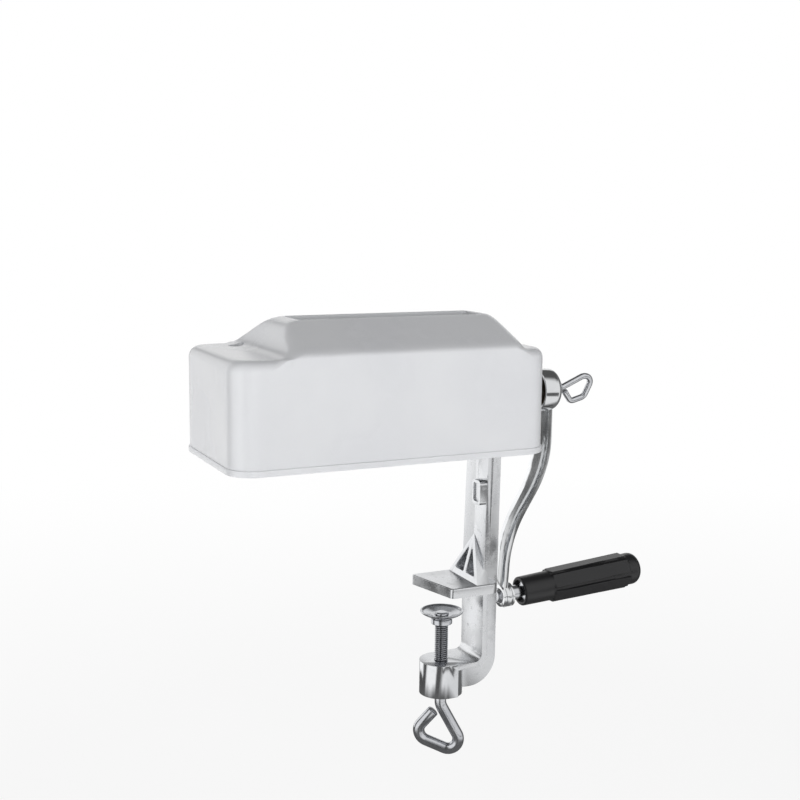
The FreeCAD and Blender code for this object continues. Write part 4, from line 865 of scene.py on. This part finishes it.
    def screw(self) -> Piece:
        """The small pan head screw in the shoulder's recess, with its cross."""
        head = self.by_screw("cover_screw_piece", self.pan_head, 0.3, self.screw_sink)
        half_long, half_wide, low, high = self.cross
        u, v = np.array(((-1, 1, 1, -1), (-1, -1, 1, 1))) * [[half_long], [half_wide]]
        cutters = []
        for a in np.radians(self.cross_turns):
            x = self.screw_x + u * np.cos(a) - v * np.sin(a)
            y = self.screw_y + u * np.sin(a) + v * np.cos(a)
            z = self.top - self.screw_sink
            cutters.append(prism("cross_cutter", [np.stack([x, y, np.full(4, z + w)], 1)
                                                  for w in (low, high)]))
        cut(head, cutters)
        return head

    def dress(self) -> None:
        """Make the cover and its screw and put them on the frame."""
        tube = self.by_screw("cover_boss", self.tube, 0.2, closed=True)
        settle(joined("cover_shell_piece", [self.build(), tube]),
               "frame", Finish.cover_white, "cover")
        settle(self.screw(), "frame", Finish.plated_screw, "cover_screw")


@dataclass
class Casting:
    """The cast frame and its left end plate, with their edges softened as castings' are."""

    edges: Sequence[tuple[str, float]] = (("frame_casting", 0.8), ("left_end_plate", 0.5))

    def dress(self) -> None:
        """Soften both castings and put them on the frame."""
        for node, edge in self.edges:
            settle(softened(node, edge), "frame", Finish.cast_aluminium, node)


@dataclass
class Clamp:
    """The clamp screw with its thread and bent loop, its collar and its pad.

    The profiles are pairs of height and radius.
    """

    radius: float = 4.0
    pitch: float = 1.25
    groove: float = 0.76
    low: float = -66.0
    high: float = -17.6
    loop_rod: float = 3.5
    loop_turn: float = -35.0
    loop: Line = ((0, -65.0), (0, -71.0), (19.0, -104.3), (-17.4, -91.3), (-4.4, -75.8))
    loop_bends: Three = (8.4, 6.5, 6.5)
    spigot: Line = ((-18.0, 0), (-18.0, 3.0), (-14.85, 3.0), (-14.85, 4.3), (-13.9, 3.9),
                    (-13.45, 2.6), (-13.45, 0))
    collar: Line = ((-20.5, 4.03), (-20.5, 6.35), (-17.5, 6.35), (-17.5, 4.03))
    pad: Line = ((-17.35, 3.05), (-17.35, 6.0), (-16.5, 6.05), (-14.8, 10.8), (-13.5, 12.6),
                 (-12.6, 13.0), (-12.6, 12.2), (-13.6, 10.9), (-15.0, 6.1), (-15.0, 3.05))

    def dress(self) -> None:
        """Make the screw, collar and pad and put them on their bodies."""
        centre, up = (0, 0, 0), (0, 0, 1)
        shank = screw_thread("shank", self.low, self.high, self.radius, self.pitch, self.groove)
        spigot = turned("spigot", self.spigot, centre, up, 0.35)
        a = np.radians(self.loop_turn)
        out, z = np.transpose(self.loop)
        line = bent(np.stack([out * np.cos(a), out * np.sin(a), z], 1), self.loop_bends)
        loop = rod("loop", line, self.loop_rod, (-np.sin(a), np.cos(a), 0))
        settle(joined("clamp_screw_piece", [shank, spigot, loop]), "clamp_screw",
               Finish.plated_screw, "clamp_screw")
        collar = turned("clamp_collar_piece", self.collar, centre, up, 0.4, closed=True)
        settle(collar, "clamp_screw", Finish.plated_screw, "clamp_collar")
        pad = turned("clamp_pad_piece", self.pad, centre, up, 0.5, 128, closed=True)
        settle(pad, "pad", Finish.plated_screw, "clamp_pad")


@dataclass
class Crank:
    """The crank arm and the thumb screw with its wire loop.

    The stem's profile and the loop's corners are measured from the washer's face.
    """

    hub_face: float = 83.5
    hub_inner: float = 76.5
    hub_radius: float = 13.0
    hub_crown: float = 0.32
    hub_cuts: Numbers = (0.0, 0.22, 0.42, 0.6, 0.74, 0.85, 0.93, 0.98)
    hub_fade: float = 5.0
    arm_edge: float = 0.6
    washer: float = 1.0
    stem: Line = ((-20, 0), (-20, 2.4), (-19.4, 3.0), (0, 3.0), (0, 5.2), (1.0, 5.2),
                  (2.0, 4.2), (2.6, 2.6), (3.2, 0))
    loop_rod: float = 1.9
    loop_turn: float = 20.0
    loop: Line = ((1, 0), (2.5, 0), (26, 12.6), (21.5, -6.7), (12.3, -9.6), (6.5, -2.4))
    loop_bends: tuple[float, float, float, float] = (3.0, 5.2, 4.0, 3.5)

    def crown(self, mesh: bpy.types.Mesh) -> None:
        """Crown the hub by a quarter of an ellipse.

        Each place keeps its radius up to hub_inner, and is then drawn in by the share
        hub_crown * (1 - sqrt(1 - t^2)), where t runs from 0 there to 1 at the face.
        """
        shape = bmesh.new()
        shape.from_mesh(mesh)
        for t in self.hub_cuts:
            at = (self.hub_inner + (self.hub_face - self.hub_inner) * t) * MM
            bmesh.ops.bisect_plane(shape, geom=[*shape.verts, *shape.edges, *shape.faces],
                                   dist=WELD, plane_co=(at, 0, 0), plane_no=(1, 0, 0))
        shape.to_mesh(mesh)
        shape.free()
        flat = np.empty(len(mesh.vertices) * 3, np.float32)
        mesh.vertices.foreach_get("co", flat)
        places = flat.reshape(-1, 3) / MM
        across = places[:, 1:] - (ROLLER_Y, ROLLER_Z)
        reach = np.linalg.norm(across, axis=1)
        out = np.clip((places[:, 0] - self.hub_inner) / (self.hub_face - self.hub_inner), 0, 1)
        near = 1 - soft_step((reach - self.hub_radius) / self.hub_fade)
        places[:, 1:] -= across * (self.hub_crown * (1 - np.sqrt(1 - out ** 2)) * near)[:, None]
        mesh.vertices.foreach_set("co", (places * MM).astype(np.float32).ravel())

    def dress(self) -> None:
        """Soften the arm and make the thumb screw."""
        arm = softened("crank_arm", self.arm_edge)
        self.crown(arm.data)
        settle(arm, "drive_roller", Finish.polished_crank, "crank_arm")
        face = (self.hub_face + self.washer, ROLLER_Y, ROLLER_Z)
        stem = turned("stem", self.stem, face, (1, 0, 0), 0.35)
        a = np.radians(self.loop_turn)
        x, r = np.transpose(self.loop)
        line = bent(np.stack([x, -r * np.sin(a), r * np.cos(a)], 1) + face, self.loop_bends)
        loop = rod("thumb_loop", line, self.loop_rod, (0, np.cos(a), np.sin(a)), 28)
        settle(joined("thumb_screw_piece", [stem, loop]), "crank_screw",
               Finish.plated_screw, "thumb_screw")


@dataclass
class Grip:
    """The black grip: a tapered core with flat ribs, a hollow mouth and a domed end.

    The profiles are pairs of place along the axis and radius; the bore's and the ring's
    are measured from the mouth, and the pin's from the crank's eye.
    """

    tilt: float = 3.7
    eye: Three = (54.2, 14.0, -13.2)
    start: float = 7.4
    length: float = 87.9
    small: float = 9.1
    large: float = 10.2
    rib_rise: float = 1.4
    rib_half: float = 4.5
    rib_start: float = 20.0
    rib_end: float = 77.6
    rib_fade: float = 1.4
    ribs: int = 6
    dome: float = 6.0
    dome_power: float = 0.75
    mouth_round: float = 0.9
    mouth_depth: float = 1.0
    columns: int = 288
    rows: int = 130
    bore: Line = ((76.0, 0.0), (76.0, 3.25), (8.3, 3.25), (8.3, 6.83), (0.3, 6.83),
                  (0.0, 7.2), (0.0, 8.2))
    ring: Line = ((2.4, 3.25), (2.4, 6.8), (5.4, 6.8), (5.4, 3.25))
    pin: Line = ((-9.3, 0), (-9.3, 3.4), (-7.3, 5.0), (-7.3, 3.2), (0.0, 3.2), (0.0, 4.6),
                 (6.9, 4.6), (6.9, 3.2), (13.2, 3.2), (13.2, 4.8), (15.2, 4.8), (15.2, 3.2),
                 (81.4, 3.2), (81.4, 0))

    def axis(self) -> Array:
        """The grip's own direction."""
        a = np.radians(self.tilt)
        return np.array((np.cos(a), 0.0, np.sin(a)))

    def build(self) -> Piece:
        """The grip's surface by its place along the axis and the angle round it.

        The core's radius r grows evenly. A rib's flat stands at h / cos(angle) with
        h^2 = (r + rise)^2 - half^2, and shows where two soft steps, one round the axis
        and one along it, let it through.
        """
        end = self.start + self.length
        bore = eased(self.bore, 0.2) + (self.start, 0)
        t = np.linspace(0, 1, 9)[1:]
        lip_z = self.start + self.mouth_depth * (1 - np.cos(t * np.pi / 2))
        lip_r = self.small - self.mouth_round * (1 - np.sin(t * np.pi / 2))
        run = np.linspace(0, 1, self.rows)[1:]
        side_z = lip_z[-1] + (end - self.dome - lip_z[-1]) * run
        side_r = self.small + (self.large - self.small) * run
        a = np.linspace(0, np.pi / 2, 16)[1:]
        dome_r = self.large * np.cos(a) ** self.dome_power
        dome_r[-1] = 0.0
        dome_z = end - self.dome + self.dome * np.sin(a)
        outside = [np.stack(pair, 1) for pair in
                   ((lip_z, lip_r), (side_z, side_r), (dome_z, dome_r))]
        line = np.concatenate([bore, *outside])
        angle = turn_steps(self.columns)
        pitch = 2 * np.pi / self.ribs
        off = (angle + pitch / 2) % pitch - pitch / 2
        z, r = line[:, :1], line[:, 1:]
        far = r + self.rib_rise
        flat = np.sqrt(np.maximum(far ** 2 - self.rib_half ** 2, 0))
        edge = np.arcsin(np.clip(self.rib_half / far, 0, 1))
        around = soft_step((edge + 0.02 - np.abs(off)) / 0.05)
        along = (soft_step((z - self.start - self.rib_start) / self.rib_fade)
                 * soft_step((self.start + self.rib_end - z) / self.rib_fade))
        rib = np.minimum(flat / np.cos(off), far) - r
        radius = r + rib * around * along * (r > self.small)
        points = spun(self.eye, self.axis(), z, radius, angle)
        return grid_object("grip_piece", points, crease=42.0)

    def dress(self) -> None:
        """Make the grip, its ring and its pin."""
        settle(self.build(), "grip", Finish.grip_black, "grip")
        way = self.axis()
        mouth = np.asarray(self.eye) + way * self.start
        ring = turned("grip_ferrule_piece", self.ring, mouth, way, 0.4, closed=True)
        settle(ring, "grip", Finish.bright_steel, "grip_ferrule")
        pin = turned("grip_pin_piece", self.pin, self.eye, way, 0.4)
        settle(pin, "drive_roller", Finish.bright_steel, "grip_pin")


def soft_step(value: Array) -> Array:
    """0 below 0, 1 above 1 and 3t^2 - 2t^3 between."""
    t = np.clip(value, 0, 1)
    return t * t * (3 - 2 * t)


@dataclass
class Works:
    """The solids that keep their shape, each with a finish by the last word of its name."""

    finishes: dict[str, Finish] = field(default_factory=lambda: {
        "rod": Finish.bright_steel, "shaft": Finish.bright_steel,
        "nut": Finish.plated_screw, "nuts": Finish.plated_screw,
        "washer": Finish.plated_screw, "blades": Finish.stainless_blade,
        "comb": Finish.stainless_blade, "spacers": Finish.spacer_nylon,
        "gear": Finish.gear_steel, "bush": Finish.sintered_bush,
    })

    def dress(self) -> None:
        """Put each solid's finish on it."""
        for node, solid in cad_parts.items():
            finish = self.finishes.get(node.split("_")[-1])
            if finish:
                finish.dress(solid)
                LOG.info("solid %s keeps its shape in %s", node, finish.name)


# Stage


@dataclass
class Studio:
    """The pale floor and backdrop, the soft lamps and the camera.

    What reflections find is set by its turn from straight ahead, in degrees for the
    cards and in radians for the rest, and by its height, from -1 below to 1 overhead.
    """

    floor_z: float = -0.135
    sky_low: float = 0.70
    sky_high: float = 0.0
    eye: Three = (-0.3338, -0.64435, 0.2257)
    yaw: float = 25.33
    pitch: float = 8.80
    roll: float = 0.57
    focal: float = 1268.0
    frame_side: float = 800.0
    cards: tuple[tuple[float, float], ...] = (
        (-180, 0.42), (-172, 0.09), (-155, 0.09), (-147, 0.95), (-101, 0.95), (-91, 0.08),
        (-25, 0.08), (-18, 0.84), (18, 0.84), (26, 0.12), (72, 0.16), (86, 0.75), (171, 0.85),
        (180, 0.42))
    card_level: float = 1.2
    flag_turn: Window = (-1.35, -1.15, -0.62, -0.45)
    flag_up: Span = (-0.49, -0.44)
    flag_level: float = 1.25
    near_turn: Span = (1.6, 1.8)
    near_up: Window = (-0.25, -0.22, -0.11, -0.07)
    near_level: float = 0.12
    ceiling_turn: Span = (1.5, 1.9)
    ceiling_up: Span = (0.50, 0.62)
    ceiling_top: Span = (0.88, 0.94)
    ceiling_level: float = 0.10
    ground_up: Span = (-0.80, -0.58)
    ground_level: float = 0.15
    floor_tone: Span = (0.89, 0.91)
    floor_fade: Span = (0.3, 1.0)
    floor_white: Span = (0.82, 1.0)
    floor_rings: Numbers = (0.0, 0.5, 1.5, 4.0, 9.0)
    aim: Three = (0.0, 0.0, 0.06)
    lamp_shape: float = 0.7
    lamps: Sequence[tuple[str, Numbers, float, float]] = (
        ("left_lamp", (-1.25, -0.25, 0.0), 0.8, 4.6),
        ("front_lamp", (0.0, -1.3, 0.25), 0.8, 7.0),
        ("back_lamp", (0.3, 1.5, 1.1), 1.5, 21.0))

    def camera(self) -> None:
        """Set the camera at the photograph's place, heading, tilt and roll."""
        yaw, pitch, roll = (np.radians(v) for v in (self.yaw, self.pitch, self.roll))
        ahead = np.array((np.sin(yaw) * np.cos(pitch), np.cos(yaw) * np.cos(pitch),
                          -np.sin(pitch)))
        right = np.array((np.cos(yaw), -np.sin(yaw), 0.0))
        up = np.cross(right, ahead)
        across = np.cos(roll) * right + np.sin(roll) * up
        upward = -np.sin(roll) * right + np.cos(roll) * up
        turn = Matrix([across, upward, -ahead]).transposed()
        data = bpy.data.cameras.new("camera")
        data.sensor_width = 36.0
        data.lens = 36.0 * self.focal / self.frame_side
        data.clip_start = 0.01
        data.clip_end = 50.0
        thing = linked("camera", data)
        thing.matrix_world = Matrix.Translation(Vector(self.eye)) @ turn.to_4x4()
        bpy.context.scene.camera = thing

    def room(self, g: Graph, way: Wire) -> Wire:
        """How bright a reflection finds the studio in a direction.

        White lies behind the object, with a dark card on either side of it and a white
        flag before the left one, two soft boxes either side of the camera, a dark strip
        low on the right, a dim ceiling and a dim ground.

        Args:
            g: the graph to build in.
            way: the direction from the object, of any length.

        Returns:
            The brightness.
        """
        unit = g.add("VectorMath", {"operation": "NORMALIZE"}, {0: way})
        x, y, up = g.split(unit)
        yaw = np.radians(self.yaw)
        side = x * np.cos(yaw) - y * np.sin(yaw)
        turn = side.maths("ARCTAN2", side, x * np.sin(yaw) + y * np.cos(yaw))
        stops = [((degrees + 180) / 360, (grey, grey, grey, 1.0)) for degrees, grey in self.cards]
        share = turn * (0.5 / np.pi) + 0.5
        ring = g.add("ValToRGB", {"stops": stops}, {0: share})
        flag = turn.window(self.flag_turn) * up.band(*self.flag_up)
        near = up.window(self.near_up) * turn.band(*self.near_turn)
        ahead = 1 - turn.maths("ABSOLUTE", turn).band(*self.ceiling_turn)
        ceiling = up.maths("MAXIMUM", ahead * up.band(*self.ceiling_up),
                           up.band(*self.ceiling_top))
        level = ring * self.card_level
        level = level.towards(self.flag_level, flag).towards(self.near_level, near)
        level = level.towards(self.ceiling_level, ceiling)
        return level.towards(self.ground_level, 1 - up.band(*self.ground_up))

    def floor(self) -> None:
        """A wide round floor, pale, that keeps the object's shadow."""
        a = turn_steps(96)[..., None]
        r = np.asarray(self.floor_rings)[:, None, None]
        flat = np.concatenate([r * np.cos(a), r * np.sin(a)], -1)
        points = np.concatenate([flat, np.full_like(flat[..., :1], self.floor_z)], -1)
        faces = grid_faces(*flat.shape[:2], False, True)
        mesh = bpy.data.meshes.new("floor")
        mesh.from_pydata(points.reshape(-1, 3).tolist(), [], faces.tolist())
        mesh.shade_smooth()
        thing = linked("floor", mesh)
        g = Graph(bpy.data.materials.new("floor_white"))
        tone = g.noise(120.0, 2.0).mapped(*self.floor_tone)
        colour = g.add("CombineColor", None, {0: tone, 1: tone, 2: tone})
        matt = g.add("BsdfDiffuse", None, {"Color": colour})
        place = g.place()
        far = g.add("VectorMath", {"operation": "LENGTH"}, {0: place}).out(1)
        seen, mirrored = g.rays()
        level = mirrored * (self.room(g, place) - 1) + 1
        white = g.add("Emission", None, {"Strength": level})
        share = seen * far.band(*self.floor_fade).mapped(*self.floor_white) + mirrored
        both = g.add("MixShader", None, {0: share.clamped(), 1: matt, 2: white})
        g.add("OutputMaterial", None, {"Surface": both})
        thing.data.materials.append(g.owner)

    def world(self) -> None:
        """White where it is seen, the room in reflections, and a soft grey light."""
        world = bpy.data.worlds.new("studio")
        bpy.context.scene.world = world
        g = Graph(world)
        seen, mirrored = g.rays()
        way = g.add("TexCoord").out("Generated")
        height = g.split(way)[2]
        soft = height.band(0.0, 1.0).mapped(self.sky_low, self.sky_high)
        bright = seen + mirrored * self.room(g, way) + (1 - seen - mirrored) * soft
        light = g.add("Background", None, {"Color": (1, 1, 1, 1),
                                                      "Strength": bright})
        g.add("OutputWorld", None, {"Surface": light})

    def lamp(self, name: str, place: Numbers, size: float, power: float) -> None:
        """A soft lamp aimed at the object, in metres and watts, which reflections don't show."""
        data = bpy.data.lights.new(name, "AREA")
        data.shape = "RECTANGLE"
        data.size = size
        data.size_y = size * self.lamp_shape
        data.energy = power
        thing = linked(name, data)
        way = Vector(self.aim) - Vector(place)
        thing.matrix_world = (Matrix.Translation(Vector(place))
                              @ way.to_track_quat("-Z", "Y").to_matrix().to_4x4())
        thing.visible_glossy = False

    def dress(self) -> None:
        """Set up the stage."""
        self.camera()
        self.floor()
        self.world()
        for lamp in self.lamps:
            self.lamp(*lamp)
        bpy.context.scene.view_settings.view_transform = "Standard"


def main() -> None:
    """Build the stage and each sub-assembly in order."""
    logging.basicConfig(level=logging.INFO, format="%(name)s: %(message)s")
    Studio().dress()
    Works().dress()
    Cover().dress()
    Casting().dress()
    Clamp().dress()
    Crank().dress()
    Grip().dress()


if __name__ == "__main__":
    main()
